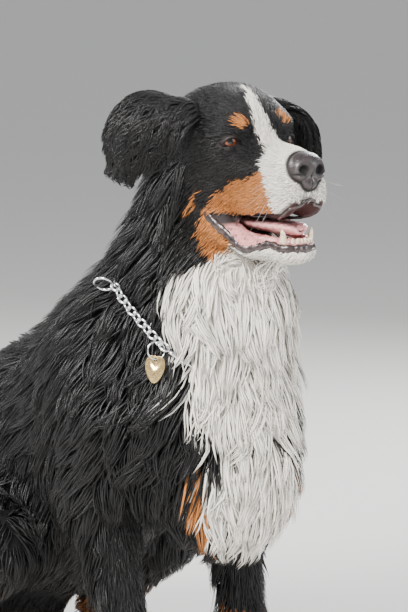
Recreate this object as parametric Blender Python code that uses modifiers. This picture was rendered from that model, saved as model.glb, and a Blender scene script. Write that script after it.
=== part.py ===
"""A life-size Bernese mountain dog that sits with its mouth open, in metres.

The dog faces +X, its left is +Y and up is +Z. It is modelled on the floor z = 0 from the
middle of its seat, and at the end it is moved so that the middle of its box is the origin.
"""

import math

import bmesh
import bpy
import numpy as np
from mathutils import Matrix, Vector
from mathutils.bvhtree import BVHTree

# Driving dimensions
EYE_HEIGHT = 0.800  # floor to the middle of the eyes
EYE_REACH = 0.680  # middle of the seat to the middle of the eyes
HEAD_TURN = math.radians(-2.5)  # a slight turn to the dog's right
GAP = 0.0003  # between nodes that meet
CORE_TRIANGLES = 1740  # of the trunk and limbs before the coat
HEAD_TRIANGLES = 1180
JAW_TRIANGLES = 380
CORE_VOXEL = 0.008  # of the block-out that each form is pulled from
HEAD_VOXEL = 0.0028
NOSE_VOXEL = 0.0018
BONE_BALLS = 8  # steps along a bone in the block-out
SOFTENING = 4  # rounds of smoothing of the block-out
PULLS = 5  # rounds of pulling it onto the blend
PULL_SHARE = 0.9
PULL_LIMIT = 0.006
SLOPE_STEP = 0.0001
LEAST_SLOPE = 0.25

# Colour, roughness and metallic of each material
FINISHES = {
    "black_coat": ((0.020, 0.018, 0.018), 0.55, 0.0),
    "white_coat": ((0.80, 0.76, 0.69), 0.70, 0.0),
    "rust_coat": ((0.42, 0.17, 0.05), 0.65, 0.0),
    "nose_skin": ((0.040, 0.033, 0.034), 0.35, 0.0),
    "tongue_skin": ((0.72, 0.30, 0.30), 0.35, 0.0),
    "iris_brown": ((0.16, 0.045, 0.015), 0.08, 0.0),
    "chrome_steel": ((0.78, 0.79, 0.80), 0.18, 1.0),
    "tag_brass": ((0.70, 0.47, 0.22), 0.38, 1.0),
}

# Flesh of the trunk and limbs. A ball has a centre, radii, a nose-up tilt in degrees, the
# width of its blend with its neighbours and the depth of undercoat over it. A bone has two
# ends and a radius at each. A form that is off the middle is made on both sides.
BODY_BALLS = (
    ((0.412, 0.000, 0.410), (0.222, 0.130, 0.146), 35, 0.05, 0.012),  # ribs
    ((0.570, 0.000, 0.458), (0.100, 0.116, 0.130), 10, 0.05, 0.014),  # forechest
    ((0.602, 0.000, 0.340), (0.078, 0.092, 0.080), 0, 0.05, 0.012),  # brisket
    ((0.375, 0.000, 0.508), (0.110, 0.080, 0.068), 32, 0.05, 0.010),  # withers
    ((0.260, 0.000, 0.275), (0.150, 0.118, 0.120), 45, 0.05, 0.012),  # belly
    ((0.205, 0.000, 0.352), (0.165, 0.110, 0.116), 45, 0.05, 0.010),  # loin
    ((0.070, 0.000, 0.185), (0.125, 0.125, 0.135), 42, 0.05, 0.012),  # rump
    ((0.045, 0.000, 0.085), (0.095, 0.120, 0.088), 0, 0.05, 0.008),  # seat
    ((0.612, 0.000, 0.590), (0.072, 0.082, 0.090), 0, 0.05, 0.014),  # throat
    ((0.470, 0.085, 0.455), (0.080, 0.052, 0.120), -12, 0.04, 0.012),  # shoulder blade
    ((0.575, 0.105, 0.026), (0.052, 0.037, 0.029), 0, 0.02, 0.004),  # forepaw
    ((0.300, 0.192, 0.026), (0.055, 0.037, 0.028), 0, 0.02, 0.004),  # hind paw
)
BODY_BONES = (
    ((0.485, 0.000, 0.520), (0.575, 0.000, 0.715), 0.104, 0.076, 0.05, 0.012),  # neck
    ((0.510, 0.105, 0.420), (0.480, 0.110, 0.330), 0.058, 0.044, 0.04, 0.012),  # upper arm
    ((0.485, 0.110, 0.330), (0.535, 0.104, 0.115), 0.038, 0.025, 0.03, 0.007),  # forearm
    ((0.535, 0.104, 0.115), (0.560, 0.105, 0.045), 0.025, 0.026, 0.02, 0.004),  # pastern
    ((0.105, 0.095, 0.205), (0.285, 0.155, 0.225), 0.098, 0.058, 0.04, 0.012),  # thigh
    ((0.295, 0.165, 0.215), (0.110, 0.178, 0.058), 0.048, 0.026, 0.03, 0.008),  # lower thigh
    ((0.110, 0.178, 0.036), (0.270, 0.190, 0.030), 0.028, 0.024, 0.02, 0.005),  # hind foot
    ((-0.030, 0.000, 0.090), (-0.140, -0.010, 0.042), 0.040, 0.032, 0.03, 0.012),  # tail root
    ((-0.140, -0.010, 0.040), (-0.270, -0.070, 0.033), 0.030, 0.024, 0.02, 0.012),  # tail
    ((-0.270, -0.070, 0.033), (-0.370, -0.150, 0.023), 0.024, 0.014, 0.02, 0.012),  # tail end
)
TOES = 4
TOE_RADII = (0.021, 0.0105, 0.015)
TOE_PITCH = 0.0185
TOE_CURVE = 0.005  # how far the outer toes stand back
TOE_ROWS = ((0.617, 0.105), (0.344, 0.192))  # forward and sideways, fore and hind

# The head from the middle of the eyes, with its short coat. Each row as above.
SKULL_BALLS = (
    ((-0.075, 0.000, 0.003), (0.082, 0.070, 0.068), 0, 0.03, 0.0),  # cranium
    ((-0.038, 0.000, 0.012), (0.046, 0.057, 0.048), 8, 0.03, 0.0),  # forehead
    ((-0.034, 0.053, -0.008), (0.029, 0.020, 0.026), 0, 0.02, 0.0),  # cheekbone
    ((-0.009, 0.031, 0.018), (0.022, 0.023, 0.014), 10, 0.02, 0.0),  # brow
    ((-0.064, 0.044, -0.052), (0.058, 0.035, 0.052), 0, 0.03, 0.0),  # cheek
    ((-0.010, 0.038, -0.032), (0.036, 0.022, 0.024), 0, 0.02, 0.0),  # below the eye
    ((0.046, 0.000, -0.050), (0.052, 0.041, 0.040), 0, 0.02, 0.0),  # muzzle sides
    ((0.062, 0.021, -0.066), (0.038, 0.022, 0.032), -4, 0.014, 0.0),  # flew
    ((0.020, 0.033, -0.074), (0.042, 0.016, 0.023), 6, 0.014, 0.0),  # back of the flew
    ((-0.075, 0.000, -0.085), (0.060, 0.052, 0.050), 0, 0.03, 0.0),  # throat root
)
SKULL_BONES = (
    ((0.000, 0.000, -0.032), (0.074, 0.000, -0.037), 0.036, 0.029, 0.02, 0.0),  # bridge
)
JAW_BALLS = (
    ((0.072, 0.000, -0.141), (0.022, 0.022, 0.013), 0, 0.012, 0.0),  # chin
    ((0.010, 0.000, -0.139), (0.070, 0.032, 0.014), -4, 0.012, 0.0),  # floor of the mouth
    ((-0.050, 0.044, -0.108), (0.044, 0.024, 0.032), -14, 0.02, 0.0),  # jowl
    ((-0.070, 0.000, -0.118), (0.060, 0.048, 0.034), 0, 0.02, 0.0),  # tongue root
    ((-0.042, 0.043, -0.086), (0.030, 0.022, 0.034), 0, 0.02, 0.0),  # corner of the mouth
)
JAW_BONES = (
    ((-0.060, 0.044, -0.092), (0.020, 0.036, -0.130), 0.026, 0.013, 0.012, 0.0),  # bar
    ((0.020, 0.036, -0.130), (0.074, 0.017, -0.136), 0.013, 0.011, 0.012, 0.0),  # bar in front
    ((-0.018, 0.044, -0.110), (0.030, 0.036, -0.125), 0.006, 0.005, 0.006, 0.0),  # lip
    ((0.030, 0.036, -0.125), (0.078, 0.020, -0.129), 0.005, 0.005, 0.006, 0.0),  # lip in front
    ((0.078, 0.020, -0.129), (0.088, 0.004, -0.130), 0.005, 0.005, 0.006, 0.0),  # lip at the chin
)

LID_BALLS = (((-0.009, 0.0445, 0.001), (0.0160, 0.0160, 0.0150), 0, 0.006, 0.0),)
NOSE_BALLS = (
    ((0.0910, 0.000, -0.0270), (0.0190, 0.0240, 0.0165), -12, 0.008, 0.0),  # top of the nose
    ((0.0940, 0.015, -0.0350), (0.0160, 0.0100, 0.0125), 0, 0.006, 0.0),  # wing of the nose
    ((0.0945, 0.000, -0.0490), (0.0130, 0.0130, 0.0100), 0, 0.006, 0.0),  # foot of the nose
)
TONGUE_BALLS = (
    ((-0.012, 0.000, -0.118), (0.050, 0.024, 0.0090), 2, 0.010, 0.0),  # back of the tongue
    ((0.044, 0.000, -0.118), (0.032, 0.022, 0.0075), 4, 0.010, 0.0),  # tip of the tongue
)
NOSE_TRIANGLES = 230
TONGUE_TRIANGLES = 160

# Details of the head
EYE_CENTRE = Vector((-0.0095, 0.0445, 0.0))
EYE_RADIUS = 0.0130
EYE_COLUMNS = 16
EYE_ROWS = 9
EYE_OUTWARD = math.radians(21)  # the way an eye looks, from straight ahead
LID_LENGTH = 0.0285
LID_HEIGHT = 0.0140
LID_DEPTH = 0.030
LID_SLANT = 0.16  # how far the outer corner of the lids is raised, per length
LID_POWER = 0.35  # makes the almond fuller than an ellipse
LID_FLARE = ((0.0, 0.8), (0.45, 0.95), (1.0, 1.5))  # share of the depth, and size there
ALMOND_SIDES = 14
SOCKET_GAP = 0.0004
NOSTRIL = ((0.1105, 0.0120, -0.0335), (0.0095, 0.0048, 0.0050))  # middle and radii
NOSTRIL_SLIT = ((0.1040, 0.0190, -0.0385), (0.0090, 0.0070, 0.0020))
PHILTRUM = ((0.1120, 0.0000, -0.0470), (0.0070, 0.0012, 0.0150))
TOOTH_SIDES = 5
LOWER_CANINE = ((0.0745, 0.0210, -0.128), 0.0045, 0.020)  # foot, radius and height
INCISORS = ((0.0860, 0.0030), (0.0850, 0.0085), (0.0820, 0.0140))
INCISOR = (-0.129, 0.0027, 0.0080)  # height of the foot, radius and height of the tooth
INCISOR_WAY = Vector((0.25, 0.0, 1.0))
EAR_ROWS = 9
EAR_COLUMNS = 6
EAR_WIDTH = 0.088
EAR_THICK = 0.012
EAR_CUP = 0.010
EAR_TAPER = (0.72, 1.2, 0.9, 3.2)  # width at the root, its growth and fall, and the end's power
EARS = {  # root, bend and tip, then the way across at the root and at the tip
    "ear_left": (
        (-0.066, 0.056, 0.036), (-0.052, 0.116, 0.040), (-0.045, 0.102, -0.088),
        (0.95, 0.10, -0.10), (1.0, -0.15, 0.05),
    ),
    "ear_right": (
        (-0.070, -0.054, 0.034), (-0.094, -0.120, 0.036), (-0.127, -0.127, -0.040),
        (0.90, -0.10, -0.20), (0.46, 0.397, -0.794),
    ),
}

# The coat: strokes of a comb from one place to the next, and the length of the coat there.
COMB = (
    ((0.530, 0.000, 0.800), (0.430, 0.000, 0.640), 0.080),  # nape
    ((0.400, 0.000, 0.610), (0.200, 0.000, 0.485), 0.065),  # back
    ((0.200, 0.000, 0.485), (0.020, 0.000, 0.330), 0.070),  # loin
    ((0.000, 0.000, 0.300), (-0.080, 0.000, 0.100), 0.080),  # rump
    ((0.720, 0.000, 0.650), (0.685, 0.000, 0.530), 0.085),  # throat
    ((0.650, 0.000, 0.605), (0.715, 0.000, 0.520), 0.085),  # top of the forechest
    ((0.680, 0.000, 0.510), (0.630, 0.000, 0.320), 0.095),  # chest
    ((0.540, 0.000, 0.280), (0.280, 0.000, 0.120), 0.065),  # belly
    ((0.610, 0.085, 0.770), (0.585, 0.110, 0.640), 0.075),  # ruff behind the cheek
    ((0.560, 0.060, 0.830), (0.500, 0.090, 0.690), 0.070),  # back of the head
    ((0.760, 0.000, 0.805), (0.690, 0.000, 0.830), 0.006),  # bridge of the nose
    ((0.680, 0.000, 0.860), (0.590, 0.000, 0.880), 0.014),  # forehead
    ((0.730, 0.045, 0.750), (0.640, 0.075, 0.730), 0.012),  # cheek
    ((0.650, 0.060, 0.810), (0.600, 0.075, 0.830), 0.012),  # temple
    ((0.760, 0.020, 0.655), (0.680, 0.030, 0.650), 0.014),  # jaw
    ((0.530, 0.110, 0.670), (0.450, 0.130, 0.540), 0.080),  # side of the neck
    ((0.470, 0.140, 0.520), (0.420, 0.155, 0.360), 0.070),  # shoulder
    ((0.540, 0.140, 0.430), (0.460, 0.155, 0.310), 0.065),  # upper arm
    ((0.620, 0.080, 0.510), (0.580, 0.110, 0.360), 0.085),  # side of the chest
    ((0.360, 0.145, 0.470), (0.220, 0.155, 0.310), 0.070),  # ribs
    ((0.220, 0.130, 0.360), (0.160, 0.180, 0.220), 0.070),  # flank
    ((0.270, 0.200, 0.290), (0.080, 0.200, 0.130), 0.065),  # thigh
    ((0.030, 0.150, 0.290), (-0.060, 0.140, 0.080), 0.090),  # back of the thigh
    ((0.340, 0.190, 0.250), (0.270, 0.215, 0.110), 0.040),  # knee
    ((0.230, 0.200, 0.120), (0.100, 0.205, 0.050), 0.036),  # hock
    ((0.550, 0.105, 0.300), (0.575, 0.105, 0.080), 0.018),  # front of the foreleg
    ((0.440, 0.115, 0.340), (0.490, 0.105, 0.110), 0.060),  # back of the foreleg
    ((0.590, 0.105, 0.050), (0.630, 0.105, 0.020), 0.010),  # forepaw
    ((0.240, 0.192, 0.050), (0.340, 0.192, 0.020), 0.010),  # hind paw
    ((-0.060, 0.000, 0.100), (-0.160, -0.010, 0.060), 0.100),  # tail root
    ((-0.160, -0.010, 0.060), (-0.280, -0.070, 0.050), 0.110),  # tail
    ((-0.280, -0.070, 0.050), (-0.380, -0.150, 0.040), 0.110),  # tail end
)
COMB_FALLOFF = 4
SAG = 0.15  # pull of gravity on the lie
SEED = 11
ROOT_TRIALS = 6000
ROOT_SPACING = 0.0725
ROOT_LOWEST = 0.035  # no lock starts lower than this
LONG_COAT = 0.034  # coat shorter than this has no locks
LOCK_SHARE = 1.45  # length of a lock as drawn along the body, per length of the coat
LOCK_WIDTH = 0.048
LOCK_THICK = 0.011
LOCK_RISE = 0.010
LOCK_WAVE = 0.16
LOCK_CURVE = 2.6  # radians of the wave along a lock
LOCK_SPREAD = 0.15  # how much lengths and widths differ
FULL_COAT = 0.09  # coat from which locks have more than their full width
LOCK_STATIONS = (  # share of the length, height over the core and width at each ring
    (0.00, -0.70, 0.75),
    (0.18, 0.30, 1.00),
    (0.52, 0.75, 0.95),
    (0.82, 1.15, 0.60),
    (1.00, 1.50, 0.00),
)
FREE_TIP = 0.25  # how far a tip leaves the body where the body turns away
FLOOR_CLEAR = 0.003
HALF_SPACE = 3.0

# The collar, a chain in a sloping plane round the neck, and its tag
COLLAR_MIDDLE = Vector((0.575, 0.0, 0.564))
COLLAR_SLOPE = Vector((0.600, 0.0, 0.800))
COLLAR_STATIONS = 36
COLLAR_LIFT = 0.006  # axis of the chain above the core
LINK_PITCH = 0.0118
LINK_LONG = 0.0069
LINK_SHORT = 0.0046
LINK_WIRE = 0.0016
LINK_POINTS = 8
GROOVE = 0.0070
HIDDEN_WIRE = 0.0030
CHAIN_FIRST = 24  # stations between which the chain shows
CHAIN_LAST = 30
CHAIN_OPEN = 0.009  # how far out the coat is cleared over what shows
TAG_SHARE = 0.84  # place of the tag along the chain that shows
RING_RADIUS = 0.0125
RING_WIRE = 0.0018
TAG_RING_RADIUS = 0.0115
TAG_RING_WIRE = 0.0010
TAG_RING_TURN = math.radians(45)
TAG_LIFT = 0.004
TAG_WIDTH = 0.027
TAG_HEIGHT = 0.037
TAG_THICK = 0.0014
TAG_HOLE = 0.0032
TAG_LOBE = (0.20, 0.35)  # height where the lobes begin, and how much of them is kept
TAG_HOLE_AT = 0.05  # height of the hole in the outline
HEART_WAVES = (13 / 29, -5 / 29, -2 / 29, -1 / 29)  # shares of four cosines in its height
TAG_ROOM = 0.016  # radius of the room the coat leaves in front of the tag
TAG_POINTS = 28
RING_POINTS = 14
CLEAR = 0.0006  # growth of a shape that its neighbours are cut by
EAR_CLEAR = 0.0018  # the same for the sharp rim of an ear

# Where the nodes part: planes by a point and a normal, and blocks by two corners
HEAD_CUT = (Vector((0.600, 0.0, 0.700)), Vector((0.545, 0.0, 0.838)))
NECK_ABOVE_COLLAR = 0.018
CHEST_CUT = (Vector((0.270, 0.0, 0.300)), Vector((0.750, 0.0, 0.660)))
TAIL_BLOCK = ((-0.60, -0.50, -0.10), (-0.115, 0.50, 0.25))
THIGH_BLOCK = ((-0.20, 0.118, -0.10), (0.40, 0.50, 0.325))
HIND_PAW_BLOCK = ((0.06, 0.0, -0.10), (0.50, 0.50, 0.068))
FORELEG_BLOCK = ((0.40, 0.052, -0.10), (0.80, 0.50, 0.300))
FOREPAW_BLOCK = ((0.40, 0.0, -0.10), (0.80, 0.50, 0.052))

# A claw in front of each toe
CLAW_AHEAD = 0.012
CLAW_HEIGHT = 0.013
CLAW_RADIUS = 0.0042
CLAW_LENGTH = 0.017
CLAW_WAY = Vector((1.0, 0.0, -0.45))


def clear_scene():
    for obj in list(bpy.data.objects):
        bpy.data.objects.remove(obj)


clear_scene()


def collection(name, hidden=False):
    made = bpy.data.collections.new(name)
    bpy.context.scene.collection.children.link(made)
    made.hide_render = hidden
    return made


DOG = collection("bernese_mountain_dog")
HELPERS = collection("cutters", hidden=True)


def placed(name, mesh, where):
    obj = bpy.data.objects.new(name, mesh)
    where.objects.link(obj)
    if where is not DOG:
        obj.hide_render = True
        obj.display_type = "WIRE"
    return obj


def from_bmesh(name, made, where=None):
    bmesh.ops.recalc_face_normals(made, faces=made.faces)
    mesh = bpy.data.meshes.new(name)
    made.to_mesh(mesh)
    made.free()
    return placed(name, mesh, where or HELPERS)


def drop(*objs):
    for obj in objs:
        mesh = obj.data
        bpy.data.objects.remove(obj)
        if mesh.users == 0:
            bpy.data.meshes.remove(mesh)


def bake(obj):
    """Replaces the object's mesh by what its modifiers make of it."""
    bpy.context.view_layer.update()
    graph = bpy.context.evaluated_depsgraph_get()
    mesh = bpy.data.meshes.new_from_object(obj.evaluated_get(graph))
    obj.modifiers.clear()
    old = obj.data
    obj.data = mesh
    if old.users == 0:
        bpy.data.meshes.remove(old)
    return obj


def boolean(obj, other, operation):
    """Joins or cuts obj by another object, or by every object of a collection."""
    modifier = obj.modifiers.new(operation.lower(), "BOOLEAN")
    modifier.operation = operation
    modifier.solver = "MANIFOLD"
    if isinstance(other, bpy.types.Collection):
        modifier.operand_type = "COLLECTION"
        modifier.collection = other
    else:
        modifier.object = other
    return bake(obj)


def joined(obj, others):
    """One Boolean union of obj with a collection of closed objects, which then go."""
    pieces = collection(obj.name + "_pieces", hidden=True)
    for other in others:
        for where in list(other.users_collection):
            where.objects.unlink(other)
        pieces.objects.link(other)
    boolean(obj, pieces, "UNION")
    drop(*others)
    bpy.data.collections.remove(pieces)
    return obj


def twin(obj, name):
    return placed(name, obj.data.copy(), HELPERS)


def islands(made):
    """The connected pieces of a bmesh, each as a list of faces."""
    left = set(made.faces)
    found = []
    while left:
        front = [left.pop()]
        island = list(front)
        while front:
            for edge in front.pop().edges:
                for other in edge.link_faces:
                    if other in left:
                        left.remove(other)
                        front.append(other)
                        island.append(other)
        found.append(island)
    return found


def volume_of(faces):
    total = 0.0
    for face in faces:
        a, b, c = (v.co for v in face.verts)
        total += a.dot(b.cross(c)) / 6
    return total


def keep_largest(obj):
    """Keeps the object's largest closed surface, as triangles."""
    made = bmesh.new()
    made.from_mesh(obj.data)
    bmesh.ops.triangulate(made, faces=made.faces)
    pieces = sorted(islands(made), key=volume_of)
    extra = [face for piece in pieces[:-1] for face in piece]
    bmesh.ops.delete(made, geom=extra, context="FACES")
    made.to_mesh(obj.data)
    made.free()
    return obj


def mirrored(rows, places):
    """The rows, and the mirror image of each whose first place is off the middle."""
    found = list(rows)
    for row in rows:
        if row[0][1] > 0.0:
            flipped = tuple((x, -y, z) for x, y, z in row[:places])
            found.append(flipped + row[places:])
    return found


def toe_rows():
    """Four toe balls in a row at the front of each paw."""
    rows = []
    for forward, side in TOE_ROWS:
        for i in range(TOES):
            step = i - (TOES - 1) / 2
            centre = (forward - TOE_CURVE * step * step, side + step * TOE_PITCH, 0.015)
            rows.append((centre, TOE_RADII, 0, 0.004, 0.003))
    return tuple(rows)


def ball_distance(points, centre, radii, tilt, coat):
    """About how far each point is outside an ellipsoid, from its scaled radius."""
    turn = math.radians(tilt)
    away = points - np.array(centre)
    x = away[:, 0] * math.cos(turn) + away[:, 2] * math.sin(turn)
    z = -away[:, 0] * math.sin(turn) + away[:, 2] * math.cos(turn)
    local = np.stack([x, away[:, 1], z], axis=1)
    size = np.array(radii) + coat
    reach = np.linalg.norm(local / size, axis=1)
    steepness = np.linalg.norm(local / size**2, axis=1) + 1e-9
    return reach * (reach - 1.0) / steepness


def bone_distance(points, start, end, first, last, coat):
    """How far each point is outside a tapered capsule."""
    start = np.array(start)
    along = np.array(end) - start
    share = np.clip((points - start) @ along / (along @ along), 0.0, 1.0)
    away = points - start - share[:, None] * along
    return np.linalg.norm(away, axis=1) - (first + share * (last - first)) - coat


def form_distance(points, balls, bones):
    """Distance to all the forms, each blended into those before it over its own width."""
    total = np.full(len(points), 1.0)
    shapes = [(ball_distance(points, *row[:3], row[4]), row[3]) for row in balls]
    shapes += [(bone_distance(points, *row[:4], row[5]), row[4]) for row in bones]
    for distance, width in sorted(shapes, key=lambda shape: -shape[1]):
        near = np.maximum(width - np.abs(total - distance), 0.0) / width
        total = np.minimum(total, distance) - near * near * width / 4
    return total


def fused(name, balls, bones, voxel, triangles):
    """One smooth closed surface over the forms: a block-out pulled onto their blend."""
    balls = mirrored(balls, 1)
    bones = mirrored(bones, 2)
    made = bmesh.new()
    for centre, radii, tilt, _, coat in balls:
        turn = Matrix.Rotation(math.radians(-tilt), 4, "Y")
        size = Matrix.Diagonal([r + coat for r in radii] + [1.0])
        bmesh.ops.create_icosphere(
            made, subdivisions=3, radius=1.0, matrix=Matrix.Translation(centre) @ turn @ size
        )
    for start, end, first, last, _, coat in bones:
        for i in range(BONE_BALLS + 1):
            centre = Vector(start).lerp(Vector(end), i / BONE_BALLS)
            radius = first + (last - first) * i / BONE_BALLS + coat
            bmesh.ops.create_icosphere(
                made, subdivisions=2, radius=radius, matrix=Matrix.Translation(centre)
            )
    obj = from_bmesh(name, made)
    remesh = obj.modifiers.new("fuse", "REMESH")
    remesh.mode = "VOXEL"
    remesh.voxel_size = voxel
    smooth = obj.modifiers.new("soften", "SMOOTH")
    smooth.iterations = SOFTENING
    keep_largest(bake(obj))
    count = len(obj.data.vertices)
    flat = np.empty(count * 3)
    obj.data.vertices.foreach_get("co", flat)
    points = flat.reshape(count, 3)
    for _ in range(PULLS):
        here = form_distance(points, balls, bones)
        slope = np.empty_like(points)
        for axis in range(3):
            shift = np.zeros(3)
            shift[axis] = SLOPE_STEP
            slope[:, axis] = (form_distance(points + shift, balls, bones) - here) / SLOPE_STEP
        steepness = np.maximum((slope**2).sum(axis=1), LEAST_SLOPE)
        pull = np.clip(here, -PULL_LIMIT, PULL_LIMIT) / steepness
        points = points - PULL_SHARE * pull[:, None] * slope
    obj.data.vertices.foreach_set("co", points.ravel())
    obj.data.update()
    thin = obj.modifiers.new("thin", "DECIMATE")
    thin.ratio = min(1.0, triangles / len(obj.data.polygons))
    thin.use_collapse_triangulate = True
    return keep_largest(bake(obj))


def on_core(tree, point):
    """The nearest place of the core to a point, and its outward normal."""
    place, normal, _, _ = tree.find_nearest(Vector(point))
    return place, normal


def tree_of(obj):
    mesh = obj.data
    return BVHTree.FromPolygons([v.co for v in mesh.vertices], [p.vertices for p in mesh.polygons])


COMB_LINES = mirrored(COMB, 2)


def combed(point):
    """Lie and length of the coat at a point, from the strokes near it."""
    lie = Vector()
    length = 0.0
    total = 0.0
    for start, end, here in COMB_LINES:
        start = Vector(start)
        along = Vector(end) - start
        share = min(1.0, max(0.0, (point - start).dot(along) / along.length_squared))
        weight = 1.0 / ((point - start - share * along).length + 0.01) ** COMB_FALLOFF
        lie += weight * along.normalized()
        length += weight * here
        total += weight
    return (lie / total + Vector((0.0, 0.0, -SAG))).normalized(), length / total


def strip_mesh(name, rings, closing):
    """A closed tapered strip through rings of equal size, with its last end at a point."""
    made = bmesh.new()
    rows = [[made.verts.new(p) for p in ring] for ring in rings]
    sides = len(rows[0])
    made.faces.new(list(reversed(rows[0])))
    for low, high in zip(rows, rows[1:]):
        for i in range(sides):
            made.faces.new((low[i], low[(i + 1) % sides], high[(i + 1) % sides], high[i]))
    tip = made.verts.new(closing)
    for i in range(sides):
        made.faces.new((rows[-1][i], rows[-1][(i + 1) % sides], tip))
    return from_bmesh(name, made)


def lock(name, tree, root, random):
    """One flat tapered lock that follows the core down its lie and lifts at its tip."""
    here, _ = on_core(tree, root)
    _, coat = combed(here)
    length = LOCK_SHARE * coat * random.uniform(1 - LOCK_SPREAD, 1 + LOCK_SPREAD)
    width = LOCK_WIDTH * random.uniform(1 - LOCK_SPREAD, 1 + LOCK_SPREAD)
    width *= min(1.0, 0.4 + coat / FULL_COAT)
    thick = LOCK_THICK * random.uniform(0.9, 1.1)
    sway = random.uniform(-1.0, 1.0)
    rings = []
    last = 0.0
    for share, rise, spread in LOCK_STATIONS:
        flow, _ = combed(here)
        ahead = here + flow * length * (share - last)
        near, up = on_core(tree, ahead)
        free = FREE_TIP * share
        here = near.lerp(ahead, free) if (ahead - near).dot(up) > 0.0 else near
        last = share
        side = flow.cross(up).normalized()
        bend = side * length * LOCK_WAVE * sway * math.sin(LOCK_CURVE * share)
        middle = here + bend + up * rise * LOCK_RISE
        middle.z = max(middle.z, thick)
        tip = middle
        half = width * spread / 2
        height = thick * (0.5 + 0.5 * spread) / 2
        rings.append([middle - side * half, middle + side * half, middle + up * height])
    for ring in rings:
        for corner in ring:
            corner.z = max(corner.z, FLOOR_CLEAR)
    return strip_mesh(name, rings[:-1], tip)


def spread_roots(obj, random, spacing):
    """Places spread evenly over the long coat, wider apart where it is longer."""
    mesh = obj.data
    corners = np.array([[mesh.vertices[i].co for i in p.vertices[:3]] for p in mesh.polygons])
    areas = np.linalg.norm(
        np.cross(corners[:, 1] - corners[:, 0], corners[:, 2] - corners[:, 0]), axis=1
    )
    picks = random.choice(len(areas), size=ROOT_TRIALS, p=areas / areas.sum())
    mix = random.dirichlet((1.0, 1.0, 1.0), size=ROOT_TRIALS)
    places = (corners[picks] * mix[:, :, None]).sum(axis=1)
    kept = []
    for place in places:
        _, coat = combed(Vector(place))
        if coat < LONG_COAT or place[2] < ROOT_LOWEST:
            continue
        reach = spacing * (0.75 + 0.4 * coat / FULL_COAT)
        if all((place - other) @ (place - other) > reach * reach for other in kept):
            kept.append(place)
    return kept


def grown(obj, name, amount):
    """A copy with each vertex moved out along its normal."""
    copy = twin(obj, name)
    for vertex, normal in zip(copy.data.vertices, [v.normal.copy() for v in copy.data.vertices]):
        vertex.co += normal * amount
    return copy


def clear_of(obj, other, amount):
    """Cuts the room of another object, grown by an amount, out of obj."""
    larger = grown(other, "larger", amount)
    boolean(obj, larger, "DIFFERENCE")
    drop(larger)


def half_space(name, point, normal):
    """A large box on the side of a plane that its normal points to."""
    made = bmesh.new()
    turn = Vector(normal).to_track_quat("Z", "Y").to_matrix().to_4x4()
    lift = Matrix.Translation((0.0, 0.0, HALF_SPACE / 2))
    bmesh.ops.create_cube(made, size=HALF_SPACE, matrix=Matrix.Translation(point) @ turn @ lift)
    return from_bmesh(name, made)


def block(name, low, high, grow=0.0):
    made = bmesh.new()
    low = Vector(low) - Vector((grow, grow, grow))
    high = Vector(high) + Vector((grow, grow, grow))
    middle = (low + high) / 2
    size = Matrix.Diagonal(list(high - low) + [1.0])
    bmesh.ops.create_cube(made, size=1.0, matrix=Matrix.Translation(middle) @ size)
    return from_bmesh(name, made)


def split(obj, name, point, normal):
    """Cuts the part of obj ahead of a plane off as a new object, a gap away from the rest."""
    normal = Vector(normal).normalized()
    ahead = half_space("ahead", Vector(point) + normal * GAP / 2, normal)
    behind = half_space("behind", Vector(point) - normal * GAP / 2, -normal)
    piece = twin(obj, name)
    boolean(piece, ahead, "INTERSECT")
    boolean(obj, behind, "INTERSECT")
    drop(ahead, behind)
    return piece


def take(obj, name, low, high):
    """Cuts the part of obj within a block off as a new object, a gap away from the rest."""
    inner = block("inner", low, high)
    outer = block("outer", low, high, GAP)
    piece = twin(obj, name)
    boolean(piece, inner, "INTERSECT")
    boolean(obj, outer, "DIFFERENCE")
    drop(inner, outer)
    return piece


def sided(corners, side):
    """The low and high corners of a block, mirrored for the right side."""
    (x, y, z), (X, Y, Z) = corners
    return ((x, y, z), (X, Y, Z)) if side > 0 else ((x, -Y, z), (X, -y, Z))


def ellipsoid(name, centre, radii, columns=8, rows=5):
    made = bmesh.new()
    matrix = Matrix.Translation(centre) @ Matrix.Diagonal(list(radii) + [1.0])
    bmesh.ops.create_uvsphere(
        made, u_segments=columns, v_segments=rows, radius=1.0, matrix=matrix
    )
    return from_bmesh(name, made)


def almond(name, centre, look, length, height, depth):
    """The opening between the lids: an almond outline swept along the way the eye looks."""
    across = look.cross(Vector((0.0, 0.0, 1.0))).normalized()
    rise = across.cross(look).normalized()
    across = (across + rise * LID_SLANT * (1 if centre[1] > 0 else -1)).normalized()
    made = bmesh.new()
    rings = []
    for share, spread in LID_FLARE:
        ring = []
        for i in range(ALMOND_SIDES):
            a = 2 * math.pi * i / ALMOND_SIDES
            u = math.cos(a) * length / 2
            v = math.sin(a) * abs(math.sin(a)) ** LID_POWER * height / 2
            place = centre + look * depth * share + (across * u + rise * v) * spread
            ring.append(made.verts.new(place))
        rings.append(ring)
    made.faces.new(rings[0])
    made.faces.new(list(reversed(rings[-1])))
    for low, high in zip(rings, rings[1:]):
        for i in range(ALMOND_SIDES):
            j = (i + 1) % ALMOND_SIDES
            made.faces.new((low[i], low[j], high[j], high[i]))
    return from_bmesh(name, made)


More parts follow.
